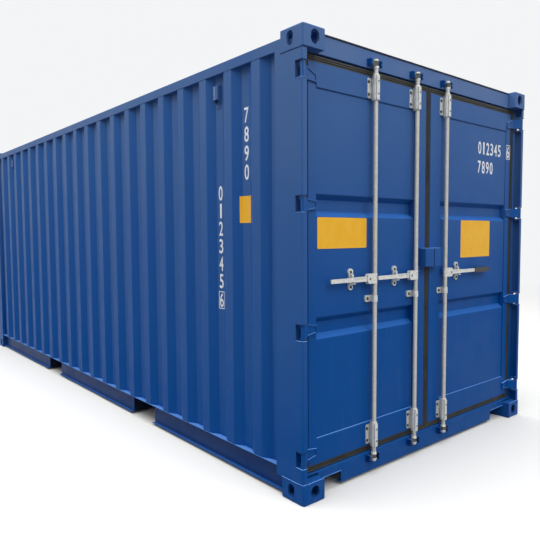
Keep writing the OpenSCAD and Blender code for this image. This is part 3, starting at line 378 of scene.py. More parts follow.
@dataclass(frozen=True)
class HotDipZinc(Finish):
    """Steel tube and forgings, hot dip galvanised.

    The eye gets a bright matt grey metal with a pattern of large crystals and some white bloom.
    """

    name: str = "galvanised_steel_hot_dipped"
    slot: Slot = Slot.ZINC
    roughness: float = 0.44
    metallic: float = 0.25
    colour: str = "#c2c4c1"
    light: str = "#dedfdc"
    bloom: str = "#d6d6d1"

    def dress(
        self, tree: bpy.types.NodeTree, shader: bpy.types.Node, place: bpy.types.NodeSocket
    ) -> None:
        """Adds zinc crystals, white bloom and a cast roughness."""
        # Crystals are 5 to 15 mm wide
        crystal = add_node(
            tree, "ShaderNodeTexVoronoi", {"Scale": per_mm(11.0)}, {"Vector": place}
        )
        tone = add_node(
            tree, "ShaderNodeSeparateColor", links={0: crystal.outputs["Color"]}
        ).outputs["Red"]
        colour = self.blend(tree, tone, self.colour, self.light)
        bloom = self.ramp(tree, self.noise(tree, place, 45.0), (0.5, 0.75), (0.0, 0.6))
        colour = self.blend(tree, bloom, colour, self.bloom)
        tree.links.new(colour, shader.inputs["Base Color"])
        rough = self.ramp(tree, tone, (0.0, 1.0), (self.roughness - 0.08, self.roughness + 0.1))
        tree.links.new(rough, shader.inputs["Roughness"])
        grain = self.noise(tree, place, 4.0, detail=2.0)
        tree.links.new(self.relief(tree, grain, 0.15), shader.inputs["Normal"])


@dataclass(frozen=True)
class SealRubber(Finish):
    """EPDM rubber, extruded: near black and matt, greyed by dust in patches, and lighter grey on the lip at
    the top.
    """

    name: str = "epdm_rubber_extruded"
    slot: Slot = Slot.RUBBER
    roughness: float = 0.62
    specular: float = 0.3
    colour: str = "#302f2e"
    light: str = "#545450"
    lighter_top_from: float = 2.43
    lighter_top_to: float = 2.47

    def dress(
        self, tree: bpy.types.NodeTree, shader: bpy.types.Node, place: bpy.types.NodeSocket
    ) -> None:
        """Adds dust clouds, a lighter top and a fine grain."""
        dust = self.ramp(tree, self.noise(tree, place, 160.0), (0.35, 0.7), (0.0, 0.45))
        colour = self.blend(tree, dust, self.colour, self.light)
        height = add_node(tree, "ShaderNodeSeparateXYZ", links={0: place}).outputs["Z"]
        # Lighter grey on the lip at the top
        top = self.ramp(tree, height, (self.lighter_top_from, self.lighter_top_to), (0.0, 0.9))
        tree.links.new(self.blend(tree, top, colour, self.light), shader.inputs["Base Color"])
        grain = self.noise(tree, place, 3.0, detail=1.0)
        tree.links.new(self.relief(tree, grain, 0.06), shader.inputs["Normal"])


@dataclass(frozen=True)
class GripRubber(Finish):
    """PVC, dip moulded over the handle: black with a soft gloss and a fine pebbled skin."""

    name: str = "pvc_dip_moulded"
    slot: Slot = Slot.RUBBER
    roughness: float = 0.45
    colour: str = "#17171a"
    light: str = "#2a2a2e"

    def dress(
        self, tree: bpy.types.NodeTree, shader: bpy.types.Node, place: bpy.types.NodeSocket
    ) -> None:
        """Adds a pebbled skin with worn tops."""
        pebble = self.noise(tree, place, 5.0, detail=2.0)
        tone = self.ramp(tree, pebble, (0.4, 0.7), (0.0, 1.0))
        tree.links.new(self.blend(tree, tone, self.colour, self.light), shader.inputs["Base Color"])
        tree.links.new(self.relief(tree, pebble, 0.2), shader.inputs["Normal"])


@dataclass(frozen=True)
class MarinePlywood(Finish):
    """Hardwood plywood, hot pressed and varnished: red brown with long dark grain along the floor."""

    name: str = "hardwood_plywood_varnished"
    slot: Slot = Slot.PLYWOOD
    roughness: float = 0.42
    colour: str = "#6b4630"
    light: str = "#8f6443"
    scuff: str = "#9a9188"

    def dress(
        self, tree: bpy.types.NodeTree, shader: bpy.types.Node, place: bpy.types.NodeSocket
    ) -> None:
        """Adds grain along the length and scuff marks."""
        grain = self.ramp(
            tree, self.noise(tree, place, 9.0, (0.04, 1.0, 1.0), 5.0), (0.35, 0.65), (0.0, 1.0)
        )
        colour = self.blend(tree, grain, self.colour, self.light)
        worn = self.ramp(tree, self.noise(tree, place, 190.0), (0.52, 0.74), (0.0, 0.45))
        tree.links.new(self.blend(tree, worn, colour, self.scuff), shader.inputs["Base Color"])
        tree.links.new(self.relief(tree, grain, 0.15), shader.inputs["Normal"])


@dataclass(frozen=True)
class FoilFilm(Finish):
    """Cast vinyl film, printed in one colour and stuck on: even, smooth, a little faded in patches."""

    name: str = "vinyl_film_yellow"
    slot: Slot = Slot.BLUE
    roughness: float = 0.42
    specular: float = 0.25
    colour: str = "#eeb024"
    light: str = "#f2ba38"

    def dress(
        self, tree: bpy.types.NodeTree, shader: bpy.types.Node, place: bpy.types.NodeSocket
    ) -> None:
        """Adds faded patches and a slight pull of the film."""
        faded = self.ramp(tree, self.noise(tree, place, 90.0), (0.35, 0.7), (0.0, 1.0))
        tree.links.new(self.blend(tree, faded, self.colour, self.light), shader.inputs["Base Color"])
        pull = self.noise(tree, place, 30.0, detail=1.0)
        tree.links.new(self.relief(tree, pull, 0.15), shader.inputs["Normal"])


PAINT = ContainerPaint()
# Darker blue, darker sheen and darker clouds on the rails under the walls and on the cam keepers: painted
# shade
SHADED_RAIL_PAINT = ContainerPaint(
    name="polyurethane_enamel_on_rails",
    slot=Slot.DARK_BLUE,
    specular=0.1,
    colour="#02316c",
    chalked="#064482",
    cloud="#073b7d",
    top_light_amount=0.3,
    dusty_up_to=0.22,
    dust_amount=0.05,
)
# The doors' painted sky sheen starts higher up, with less painted light from above
DOOR_PAINT = ContainerPaint(
    name="enamel_on_doors", painted_sheen_from=0.9, painted_sheen_to=2.95, top_light_amount=0.3
)
# Castings, posts, sill and top rails: little painted light from above, and more of the painted sheen kept on
# the slopes
FRAME_PAINT = ContainerPaint(
    name="enamel_on_castings_and_sill", top_light_amount=0.12, slope_sheen_share=0.72
)
# Strong painted light from above on the hinges and lock covers: painted highlights on their up-facing edges
HINGE_PAINT = ContainerPaint(
    name="enamel_worn_on_hinges",
    painted_sheen_from=0.9,
    painted_sheen_to=2.95,
    top_light_colour="#78acf0",
    top_light_amount=0.9,
)
# Lighter top faces of the rails under the walls: painted highlight
RAIL_TOP_PAINT = ContainerPaint(
    name="enamel_bright_on_rail_tops", top_light_colour="#6c9fe6", top_light_amount=0.62
)
# Strong painted light from above on weld beads and ledges: painted highlights
BEAD_PAINT = ContainerPaint(
    name="enamel_bright_on_beads", top_light_colour="#78acf0", top_light_amount=0.9
)
# Dark navy on beads under overhangs, below the top castings, over the hinge cut-outs and atop the door
# panels: painted shadow lines
SHADOW_LINE_PAINT = ContainerPaint(
    name="enamel_in_seams", colour="#062a5c", chalked="#2c4a78", streak="#2c4a78", top_light_amount=0.05
)
# Darker blue and a darker sheen on the roof, offsetting the strong light from above, with no painted light
# from above: painted shade
ROOF_PAINT = ContainerPaint(
    name="enamel_dusty_on_roof", colour="#04336f", chalked="#3a5583", top_light_amount=0.0
)
# A lighter grey sheen on the header: stronger painted sky sheen
HEADER_PAINT = ContainerPaint(name="enamel_chalked_on_header", chalked="#5c759f")
# Near black blue on the cross members and fork pockets: a dark underbody coat, darkened further as painted
# shade under the floor
UNDER_PAINT = ContainerPaint(
    name="enamel_under_floor",
    slot=Slot.DARK_BLUE,
    roughness=0.6,
    specular=0.1,
    colour="#071a33",
    chalked="#0a2344",
    cloud="#091f3d",
    streak="#12305a",
    top_light_amount=0.05,
)
VENT_PAINT = ContainerPaint(
    name="enamel_worn_at_vents", slot=Slot.DARK_BLUE, streak="#b4bdc9", streak_amount=0.9
)
ZINC = HotDipZinc()
TUBE_ZINC = HotDipZinc(
    name="galvanised_tube", colour="#b5b4ad", light="#c4c2bb", bloom="#c9c7c0"
)
# Dark grey on the waists of the cams, between their discs and under the top cam's cap
DARK_WAIST_ZINC = HotDipZinc(
    name="galvanised_steel_greased",
    roughness=0.5,
    colour="#3b3f3c",
    light="#585c57",
    bloom="#676a64",
)
# Near black steel for the door bolts, rivets and pivot heads: painted shade round the heads and in the holes
SHADED_BOLT_STEEL = HotDipZinc(
    name="steel_bolts_weathered",
    roughness=0.5,
    colour="#3d403c",
    light="#555852",
    bloom="#63655e",
)
RUBBER = SealRubber()
# Dark navy for the bead along the header's top edge
HEADER_LINE_FINISH = SealRubber(name="sealing_compound_navy", colour="#0a1120", light="#151d31")
GRIP = GripRubber()
PLYWOOD = MarinePlywood()
YELLOW = FoilFilm()
WHITE = FoilFilm(name="vinyl_film_white", colour="#dfe3e8", light="#eef1f4")


# Geometry node trees


class SheetTree:
    """Geometry nodes that bend a flat sheet along a line of corners."""

    NAME = "bent_sheet"
    INPUTS = (
        ("Bend Radius", "NodeSocketFloat", 0.010),
        ("Bend Steps", "NodeSocketInt", 4),
        ("Sheet Thickness", "NodeSocketFloat", 0.002),
        ("Sheet Width", "NodeSocketFloat", 1.0),
        ("Material", "NodeSocketMaterial", None),
    )

    @staticmethod
    def fill(tree: bpy.types.NodeTree, inlet: bpy.types.Node) -> bpy.types.NodeSocket:
        """Rounds the corners of the line and draws the sheet's section along it."""
        line = add_node(tree, "GeometryNodeMeshToCurve", links={"Mesh": inlet.outputs[0]})
        bent = add_node(
            tree,
            "GeometryNodeFilletCurve",
            {"Limit Radius": True},
            {
                "Curve": line.outputs[0],
                "Count": inlet.outputs["Bend Steps"],
                "Radius": inlet.outputs["Bend Radius"],
            },
            mode="POLY",
        )
        upright = add_node(
            tree, "GeometryNodeSetCurveNormal", links={"Curve": bent.outputs[0]}, mode="Z_UP"
        )
        section = add_node(
            tree,
            "GeometryNodeCurvePrimitiveQuadrilateral",
            links={
                "Width": inlet.outputs["Sheet Thickness"],
                "Height": inlet.outputs["Sheet Width"],
            },
            mode="RECTANGLE",
        )
        sheet = add_node(
            tree,
            "GeometryNodeCurveToMesh",
            {"Fill Caps": True},
            {"Curve": upright.outputs[0], "Profile Curve": section.outputs[0]},
        )
        return sheet.outputs[0]


class BoltTree:
    """Geometry nodes that set a hex bolt with its washer on every point."""

    NAME = "hex_bolts"
    INPUTS = (
        ("Head Radius", "NodeSocketFloat", 0.010),
        ("Head Height", "NodeSocketFloat", 0.006),
        ("Head Sides", "NodeSocketInt", 6),
        ("Washer Radius", "NodeSocketFloat", 0.012),
        ("Washer Height", "NodeSocketFloat", 0.002),
        ("Axis Turn", "NodeSocketVector", (0.0, 0.0, 0.0)),
        ("Seed", "NodeSocketInt", 7),
        ("Material", "NodeSocketMaterial", None),
    )

    @staticmethod
    def fill(tree: bpy.types.NodeTree, inlet: bpy.types.Node) -> bpy.types.NodeSocket:
        """Stacks the washer, head and thread end, and sets them on the points."""

        def disc(radius: bpy.types.NodeSocket, height: bpy.types.NodeSocket, sides: object, share: float):
            """Makes one upright disc that starts at the washer's foot."""
            solid = add_node(
                tree,
                "GeometryNodeMeshCylinder",
                links={"Radius": radius, "Depth": height},
                fill_type="NGON",
            )
            if isinstance(sides, int):
                solid.inputs["Vertices"].default_value = sides
            else:
                tree.links.new(sides, solid.inputs["Vertices"])
            lift = add_node(
                tree, "ShaderNodeMath", {1: share}, {0: height}, operation="MULTIPLY"
            )
            offset = add_node(tree, "ShaderNodeCombineXYZ", links={"Z": lift.outputs[0]})
            moved = add_node(
                tree,
                "GeometryNodeTransform",
                links={"Geometry": solid.outputs["Mesh"], "Translation": offset.outputs[0]},
            )
            return moved.outputs[0]

        thread = [
            add_node(tree, "ShaderNodeMath", {1: share}, {0: inlet.outputs[name]}, operation="MULTIPLY")
            for share, name in ((0.5, "Head Radius"), (1.45, "Head Height"))
        ]
        stack = add_node(
            tree,
            "GeometryNodeJoinGeometry",
            links={
                0: [
                    disc(inlet.outputs["Washer Radius"], inlet.outputs["Washer Height"], 20, 0.5),
                    disc(
                        inlet.outputs["Head Radius"],
                        inlet.outputs["Head Height"],
                        inlet.outputs["Head Sides"],
                        0.5,
                    ),
                    disc(thread[0].outputs[0], thread[1].outputs[0], 12, 0.5),
                ]
            },
        )
        placed = add_node(
            tree,
            "GeometryNodeInstanceOnPoints",
            links={
                "Points": inlet.outputs[0],
                "Instance": stack.outputs[0],
                "Rotation": inlet.outputs["Axis Turn"],
            },
        )
        angle = add_node(
            tree,
            "FunctionNodeRandomValue",
            {2: 0.0, 3: math.radians(60.0)},
            {"Seed": inlet.outputs["Seed"]},
            data_type="FLOAT",
        )
        about = add_node(tree, "ShaderNodeCombineXYZ", links={"Z": angle.outputs[1]})
        turned = add_node(
            tree,
            "GeometryNodeRotateInstances",
            {"Local Space": True},
            {"Instances": placed.outputs[0], "Rotation": about.outputs[0]},
        )
        return turned.outputs[0]


class BeadTree:
    """Geometry nodes that run a rippled weld bead along lines."""

    NAME = "weld_beads"
    INPUTS = (
        ("Bead Radius", "NodeSocketFloat", 0.004),
        ("Ripple Length", "NodeSocketFloat", 0.006),
        ("Ripple Height", "NodeSocketFloat", 0.0006),
        ("Material", "NodeSocketMaterial", None),
    )

    @staticmethod
    def fill(tree: bpy.types.NodeTree, inlet: bpy.types.Node) -> bpy.types.NodeSocket:
        """Draws a round section along the lines and lifts it in ripples."""
        line = add_node(tree, "GeometryNodeMeshToCurve", links={"Mesh": inlet.outputs[0]})
        even = add_node(
            tree,
            "GeometryNodeResampleCurve",
            links={"Curve": line.outputs[0], "Length": inlet.outputs["Ripple Length"]},
            mode="LENGTH",
        )
        section = add_node(
            tree,
            "GeometryNodeCurvePrimitiveCircle",
            {"Resolution": 7},
            {"Radius": inlet.outputs["Bead Radius"]},
            mode="RADIUS",
        )
        bead = add_node(
            tree,
            "GeometryNodeCurveToMesh",
            {"Fill Caps": True},
            {"Curve": even.outputs[0], "Profile Curve": section.outputs[0]},
        )
        wave = add_node(tree, "ShaderNodeTexNoise", {"Scale": per_mm(9.0), "Detail": 1.0})
        level = add_node(
            tree,
            "ShaderNodeMapRange",
            {1: 0.3, 2: 0.7, 3: -1.0, 4: 1.0},
            {0: wave.outputs["Fac"]},
        )
        lift = add_node(
            tree,
            "ShaderNodeMath",
            links={0: level.outputs["Result"], 1: inlet.outputs["Ripple Height"]},
            operation="MULTIPLY",
        )
        offset = add_node(
            tree,
            "ShaderNodeVectorMath",
            links={0: add_node(tree, "GeometryNodeInputNormal").outputs[0], "Scale": lift.outputs[0]},
            operation="SCALE",
        )
        rippled = add_node(
            tree,
            "GeometryNodeSetPosition",
            links={"Geometry": bead.outputs[0], "Offset": offset.outputs[0]},
        )
        return rippled.outputs[0]


def node_tree(kind: type) -> bpy.types.NodeTree:
    """Gives the geometry node tree of a kind, made at its first use.

    Args:
        kind: Class with the tree's name, inputs and filling.

    Returns:
        The tree, which ends in realized instances with the material set.
    """
    known = bpy.data.node_groups.get(kind.NAME)
    if known is not None:
        return known
    tree = bpy.data.node_groups.new(kind.NAME, "GeometryNodeTree")
    tree.interface.new_socket("Geometry", in_out="INPUT", socket_type="NodeSocketGeometry")
    tree.interface.new_socket("Geometry", in_out="OUTPUT", socket_type="NodeSocketGeometry")
    for name, socket_type, value in kind.INPUTS:
        socket = tree.interface.new_socket(name, in_out="INPUT", socket_type=socket_type)
        if value is not None:
            socket.default_value = value
    inlet = add_node(tree, "NodeGroupInput")
    real = add_node(tree, "GeometryNodeRealizeInstances", links={0: kind.fill(tree, inlet)})
    dressed = add_node(
        tree,
        "GeometryNodeSetMaterial",
        links={"Geometry": real.outputs[0], "Material": inlet.outputs["Material"]},
    )
    add_node(tree, "NodeGroupOutput", links={0: dressed.outputs[0]})
    return tree


def wires(chains: Sequence[Sequence[Point]]) -> bpy.types.Mesh:
    """Makes a mesh of open lines, or of loose points where a chain has one point.

    Args:
        chains: Corners of each line, in millimetres.

    Returns:
        The mesh, in metres.
    """
    points: list[Vector] = []
    edges: list[tuple[int, int]] = []
    for chain in chains:
        first = len(points)
        points.extend(Vector(p) * MM for p in chain)
        edges.extend((first + i, first + i + 1) for i in range(len(chain) - 1))
    mesh = bpy.data.meshes.new("lines")
    mesh.from_pydata(points, edges, [])
    return mesh


def link(name: str, mesh: bpy.types.Mesh) -> bpy.types.Object:
    """Puts a mesh into the scene as an object at the origin."""
    piece = bpy.data.objects.new(name, mesh)
    bpy.context.scene.collection.objects.link(piece)
    return piece


def bake_down(piece: bpy.types.Object) -> None:
    """Turns what the modifiers of a piece make into its plain mesh and removes them."""
    graph = bpy.context.evaluated_depsgraph_get()
    mesh = bpy.data.meshes.new_from_object(
        piece.evaluated_get(graph), preserve_all_data_layers=True, depsgraph=graph
    )
    old = piece.data
    piece.modifiers.clear()
    piece.data = mesh
    bpy.data.meshes.remove(old)
    mesh.name = piece.name


def even_normals(piece: bpy.types.Object, sharp_from: float) -> None:
    """Shades the rounded edges softly and keeps the flats flat.

    Args:
        piece: Mesh object.
        sharp_from: Angle in degrees from which an edge stays sharp.
    """
    piece.data.shade_smooth()
    piece.data.set_sharp_from_angle(angle=math.radians(sharp_from))
    normals = piece.modifiers.new("normals", "WEIGHTED_NORMAL")
    normals.keep_sharp = True
    bake_down(piece)


def grow(
    name: str, kind: type, chains: Sequence[Sequence[Point]], finish: Finish, **inputs: object
) -> bpy.types.Object:
    """Runs a geometry node tree over lines or points and keeps the plain mesh.

    Args:
        name: Name of the piece.
        kind: Class of the tree.
        chains: Lines or points in millimetres.
        finish: Finish of the piece.
        inputs: Values of the tree's inputs, with underscores for the spaces in their names.

    Returns:
        The piece.
    """
    piece = link(name, wires(chains))
    modifier = piece.modifiers.new("shape", "NODES")
    tree = node_tree(kind)
    modifier.node_group = tree
    identifiers = {
        item.name: item.identifier
        for item in tree.interface.items_tree
        if item.item_type == "SOCKET" and item.in_out == "INPUT"
    }
    for key, value in inputs.items():
        modifier[identifiers[key.replace("_", " ")]] = value
    modifier[identifiers["Material"]] = finish.material()
    bake_down(piece)
    return piece


def settle(
    piece: bpy.types.Object, body: str, replaced: Sequence[str] = ()
) -> bpy.types.Object:
    """Lets a piece ride on its body, hides the solids that it stands for and logs its face count."""
    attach(piece, body)
    if replaced:
        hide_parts(*replaced)
    LOG.info("%s: %d faces on %s", piece.name, len(piece.data.polygons), body)
    return piece


def move(piece: bpy.types.Object, matrix: Matrix) -> None:
    """Moves the mesh of a piece and turns its faces outward again where the move mirrors it."""
    piece.data.transform(matrix)
    if matrix.to_3x3().determinant() < 0:
        piece.data.flip_normals()


def body_of(node: str) -> str:
    """Gives the body that a solid belongs to."""
    return frame["nodes"][node]["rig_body"]


def dress_solid(
    node: str,
    finish: Finish,
    width: float,
    steps: int = 2,
    sharp_from: float = 50.0,
    areas: Sequence[tuple[Finish, Callable[[Vector], bool]]] = (),
    rim: Optional[Callable[[list[Vector]], bool]] = None,
    rim_width: float = 9.0,
) -> bpy.types.Object:
    """Stands a copy with rounded edges in for a solid.

    Args:
        node: Name of the solid.
        finish: Finish of the copy.
        width: Width of the rounded edges in millimetres.
        steps: Steps across a rounded edge.
        sharp_from: Angle in degrees from which an edge stays sharp in the shading.
        areas: Other finishes, each with a test of a face's middle in millimetres.
        rim: Test of an edge's ends in millimetres, true for edges that get a wider rounding.
        rim_width: Width of that rounding in millimetres.

    Returns:
        The piece that replaces the solid.
    """
    mesh = frame["nodes"][node].data.copy()
    work = bmesh.new()
    work.from_mesh(mesh)
    bmesh.ops.remove_doubles(work, verts=work.verts, dist=0.02 * MM)
    bmesh.ops.dissolve_limit(
        work, angle_limit=math.radians(0.6), verts=work.verts, edges=work.edges, delimit=set()
    )
    if rim is not None:
        chosen = [edge for edge in work.edges if rim([vertex.co / MM for vertex in edge.verts])]
        bmesh.ops.bevel(
            work,
            geom=chosen,
            offset=rim_width * MM,
            offset_type="OFFSET",
            segments=4,
            profile=0.5,
            affect="EDGES",
        )
    work.to_mesh(mesh)
    work.free()
    mesh.materials.clear()
    mesh.materials.append(finish.material())
    for layer in list(mesh.attributes):
        if layer.name in ("custom_normal", "sharp_face", "sharp_edge"):
            mesh.attributes.remove(layer)
    piece = link(f"{node}_shaped", mesh)
    bevel = piece.modifiers.new("edges", "BEVEL")
    bevel.width = width * MM
    bevel.segments = steps
    bevel.limit_method = "ANGLE"
    bevel.angle_limit = math.radians(30.0)
    bevel.use_clamp_overlap = True
    bevel.miter_outer = "MITER_ARC"
    bake_down(piece)
    even_normals(piece, sharp_from)
    for index, (other, inside) in enumerate(areas, 1):
        piece.data.materials.append(other.material())
        for face in piece.data.polygons:
            if inside(face.center / MM):
                face.material_index = index
    return settle(piece, body_of(node), (node,))


def plate_mesh(
    name: str, low: Point, high: Point, thickness: float, radius: float, hole: float = 0.0
) -> bpy.types.Mesh:
    """Makes a flat plate with round corners in the XY plane, or a ring of it.

    Args:
        name: Name of the mesh.
        low: Low corner in millimetres.
        high: High corner in millimetres.
        thickness: Thickness along Z in millimetres.
        radius: Corner radius in millimetres.
        hole: Width of the ring in millimetres, or 0 for a whole plate.

    Returns:
        The closed mesh, in metres.
    """

    def outline(inset: float) -> list[Vector]:
        """Gives the points of the outline at an inset."""
        corner = max(radius - inset, 0.5)
        points = []
        for sx, sy, start in ((1, 1, 0), (-1, 1, 90), (-1, -1, 180), (1, -1, 270)):
            cx = (high[0] if sx > 0 else low[0]) - sx * (inset + corner)
            cy = (high[1] if sy > 0 else low[1]) - sy * (inset + corner)
            for step in range(5):
                angle = math.radians(start + 22.5 * step)
                points.append(Vector((cx + corner * math.cos(angle), cy + corner * math.sin(angle), 0)))
        return points

    work = bmesh.new()
    outer = [work.verts.new(p * MM) for p in outline(0.0)]
    if hole > 0:
        inner = [work.verts.new(p * MM) for p in outline(hole)]
        count = len(outer)
        for i in range(count):
            j = (i + 1) % count
            work.faces.new((outer[i], outer[j], inner[j], inner[i]))
    else:
        work.faces.new(outer)
    lifted = bmesh.ops.extrude_face_region(work, geom=list(work.faces))
    rise = Vector((0, 0, thickness * MM))
    bmesh.ops.translate(
        work, vec=rise, verts=[v for v in lifted["geom"] if isinstance(v, bmesh.types.BMVert)]
    )
    bmesh.ops.recalc_face_normals(work, faces=work.faces)
    mesh = bpy.data.meshes.new(name)
    work.to_mesh(mesh)
    work.free()
    return mesh


def digit_mesh(digit: str, width: float, height: float, thickness: float) -> bpy.types.Mesh:
    """Makes one block digit, centred on the origin in the XY plane.

    Args:
        digit: A digit.
        width: Width in millimetres.
        height: Height in millimetres.
        thickness: Thickness along Z in millimetres.

    Returns:
        The mesh, in metres.
    """
    curve = bpy.data.curves.new("digit", "FONT")
    curve.body = digit
    curve.resolution_u = 6
    curve.offset = 0.012
    curve.extrude = 0.05
    text = bpy.data.objects.new("digit", curve)
    bpy.context.scene.collection.objects.link(text)
    graph = bpy.context.evaluated_depsgraph_get()
    mesh = bpy.data.meshes.new_from_object(text.evaluated_get(graph), depsgraph=graph)
    bpy.data.objects.remove(text)
    bpy.data.curves.remove(curve)
    points = [v.co for v in mesh.vertices]
    low = Vector(min(p[i] for p in points) for i in range(3))
    high = Vector(max(p[i] for p in points) for i in range(3))
    span = high - low
    share = 0.45 if digit == "1" else 1.0
    scale = Vector((width * share / span.x, height / span.y, thickness / span.z)) * MM
    centre = (low + high) / 2
    for vertex in mesh.vertices:
        moved = vertex.co - centre
        vertex.co = Vector((moved.x * scale.x, moved.y * scale.y, moved.z * scale.z))
    return mesh


def joined(name: str, parts: Sequence[tuple[bpy.types.Mesh, Matrix]], finish: Finish) -> bpy.types.Object:
    """Joins placed meshes to one piece.

    Args:
        name: Name of the piece.
        parts: Meshes with their places.
        finish: Finish of the piece.

    Returns:
        The piece at the origin.
    """
    work = bmesh.new()
    for mesh, place in parts:
        mesh.transform(place)
        work.from_mesh(mesh)
        bpy.data.meshes.remove(mesh)
    bmesh.ops.remove_doubles(work, verts=work.verts, dist=0.002 * MM)
    mesh = bpy.data.meshes.new(name)
    work.to_mesh(mesh)
    work.free()
    mesh.materials.append(finish.material())
    return link(name, mesh)


def facing(direction: Point, across: Point, origin: Point) -> Matrix:
    """Gives the place of a flat mark on a wall.

    Args:
        direction: Way that the mark's face looks.
        across: Way that its reading line runs.
        origin: Place of its origin in millimetres.

    Returns:
        The matrix, in metres.
    """
    z = Vector(direction).normalized()
    x = Vector(across).normalized()
    y = z.cross(x)
    matrix = Matrix((x, y, z)).transposed().to_4x4()
    matrix.translation = Vector(origin) * MM
    return matrix


def wave_line(
    span: tuple[float, float],
    shift: float,
    count: int,
    pitch: float,
    crest: float,
    slope: float,
    depth: float,
) -> list[tuple[float, float]]:
    """Gives the corners of a corrugated line with its crests at 0 and its valleys at -depth."""
    start, end = span
    points = [(start, -depth)]
    for k in range(count):
        middle = shift + (k - (count - 1) / 2) * pitch
        points += [
            (middle - crest / 2 - slope, -depth),
            (middle - crest / 2, 0.0),
            (middle + crest / 2, 0.0),
            (middle + crest / 2 + slope, -depth),
        ]
    return points + [(end, -depth)]


# Sub-assemblies


@dataclass
class Corners:
    """Cast corner fittings and the pressed posts between them, with their welds."""

    casting_round: float = 3.0
    post_round: float = 2.5
    bead: float = 4.0
    ledge_bead: float = 3.0
    cutout_half: float = 46.0
    cutout_length: float = 54.0

    def build(self) -> None:
        """Builds the castings, the posts and the weld beads on the posts."""
        for node in ("bottom_corner_castings", "top_corner_castings"):
            dress_solid(node, FRAME_PAINT, self.casting_round, 3, rim=self.on_rim)
        for node in ("front_corner_posts", "rear_corner_posts"):
            dress_solid(node, FRAME_PAINT, self.post_round)
        # The beads at the post feet are in bright bead paint and those under the top castings in dark navy:
        # painted highlights and painted shadow lines
        for name, level, finish in (
            ("post_foot_beads", CASTING_HEIGHT, BEAD_PAINT),
            ("post_head_beads", TOP_CASTING_BASE - 4.0, SHADOW_LINE_PAINT),
        ):
            chains = []
            for sy in (-1, 1):
                chains.append(self.loop(1, sy, level, 216.0, 35.0))
                chains.append(self.loop(-1, sy, level, 186.0, 158.0))
            self.beads(name, chains, finish, self.bead)
        # Bright beads along the casting tops and under the hinge cut-outs, dark ones over the cut-outs:
        # painted highlights and painted shadow lines
        ledges, lintels = [], []
        for sy in (-1, 1):
            x, y, z = HALF_LENGTH - 2.0, sy * (HALF_WIDTH - 37.0), CASTING_HEIGHT + 1.0
            ledges.append([(x, y, z), (x, sy * (HALF_WIDTH - CASTING_WIDTH + 2.0), z)])
            for level in HINGE_LEVELS:
                ledges.append(self.loop(1, sy, level - self.cutout_half, self.cutout_length, 33.0))
                lintels.append(self.loop(1, sy, level + self.cutout_half, self.cutout_length, 33.0))
        self.beads("cutout_beads", ledges, BEAD_PAINT, self.ledge_bead)
        self.beads("cutout_head_beads", lintels, SHADOW_LINE_PAINT, self.ledge_bead)

    def on_rim(self, ends: list[Vector]) -> bool:
        """Tells whether an edge of a casting runs round its free face, at the top or the ground."""

        def outside(end: Vector) -> bool:
            """Tells whether a point lies on the casting's outline."""
            long, wide = HALF_LENGTH - abs(end.x), HALF_WIDTH - abs(end.y)
            gaps = (long, CASTING_LENGTH - long, wide, CASTING_WIDTH - wide)
            return min(abs(gap) for gap in gaps) < 4.5

        free = any(all(abs(end.z - level) < 0.3 for end in ends) for level in (0.0, CAD_TOP))
        return free and all(outside(end) for end in ends)

    def beads(self, name: str, chains: list, finish: Finish, radius: float) -> None:
        """Runs weld beads of one radius along lines."""
        piece = grow(
            name,
            BeadTree,
            chains,
            finish,
            Bead_Radius=radius * MM,
            Ripple_Length=7.0 * MM,
        )
        even_normals(piece, 60.0)
        settle(piece, "container")

    def loop(self, sx: int, sy: int, level: float, side: float, end: float) -> list[Point]:
        """Gives the line of a weld round a post's outside, from its side face to its end face."""
        x, y = POST_FACE_X, HALF_WIDTH
        return [
            (sx * (x - min(side, CASTING_LENGTH - 6)), sy * (y - 1), level),
            (sx * (x - 11), sy * (y - 1), level),
            (sx * (x - 4), sy * (y - 4), level),
            (sx * (x - 1), sy * (y - 11), level),
            (sx * (x - 1), sy * (y - end), level),
        ]


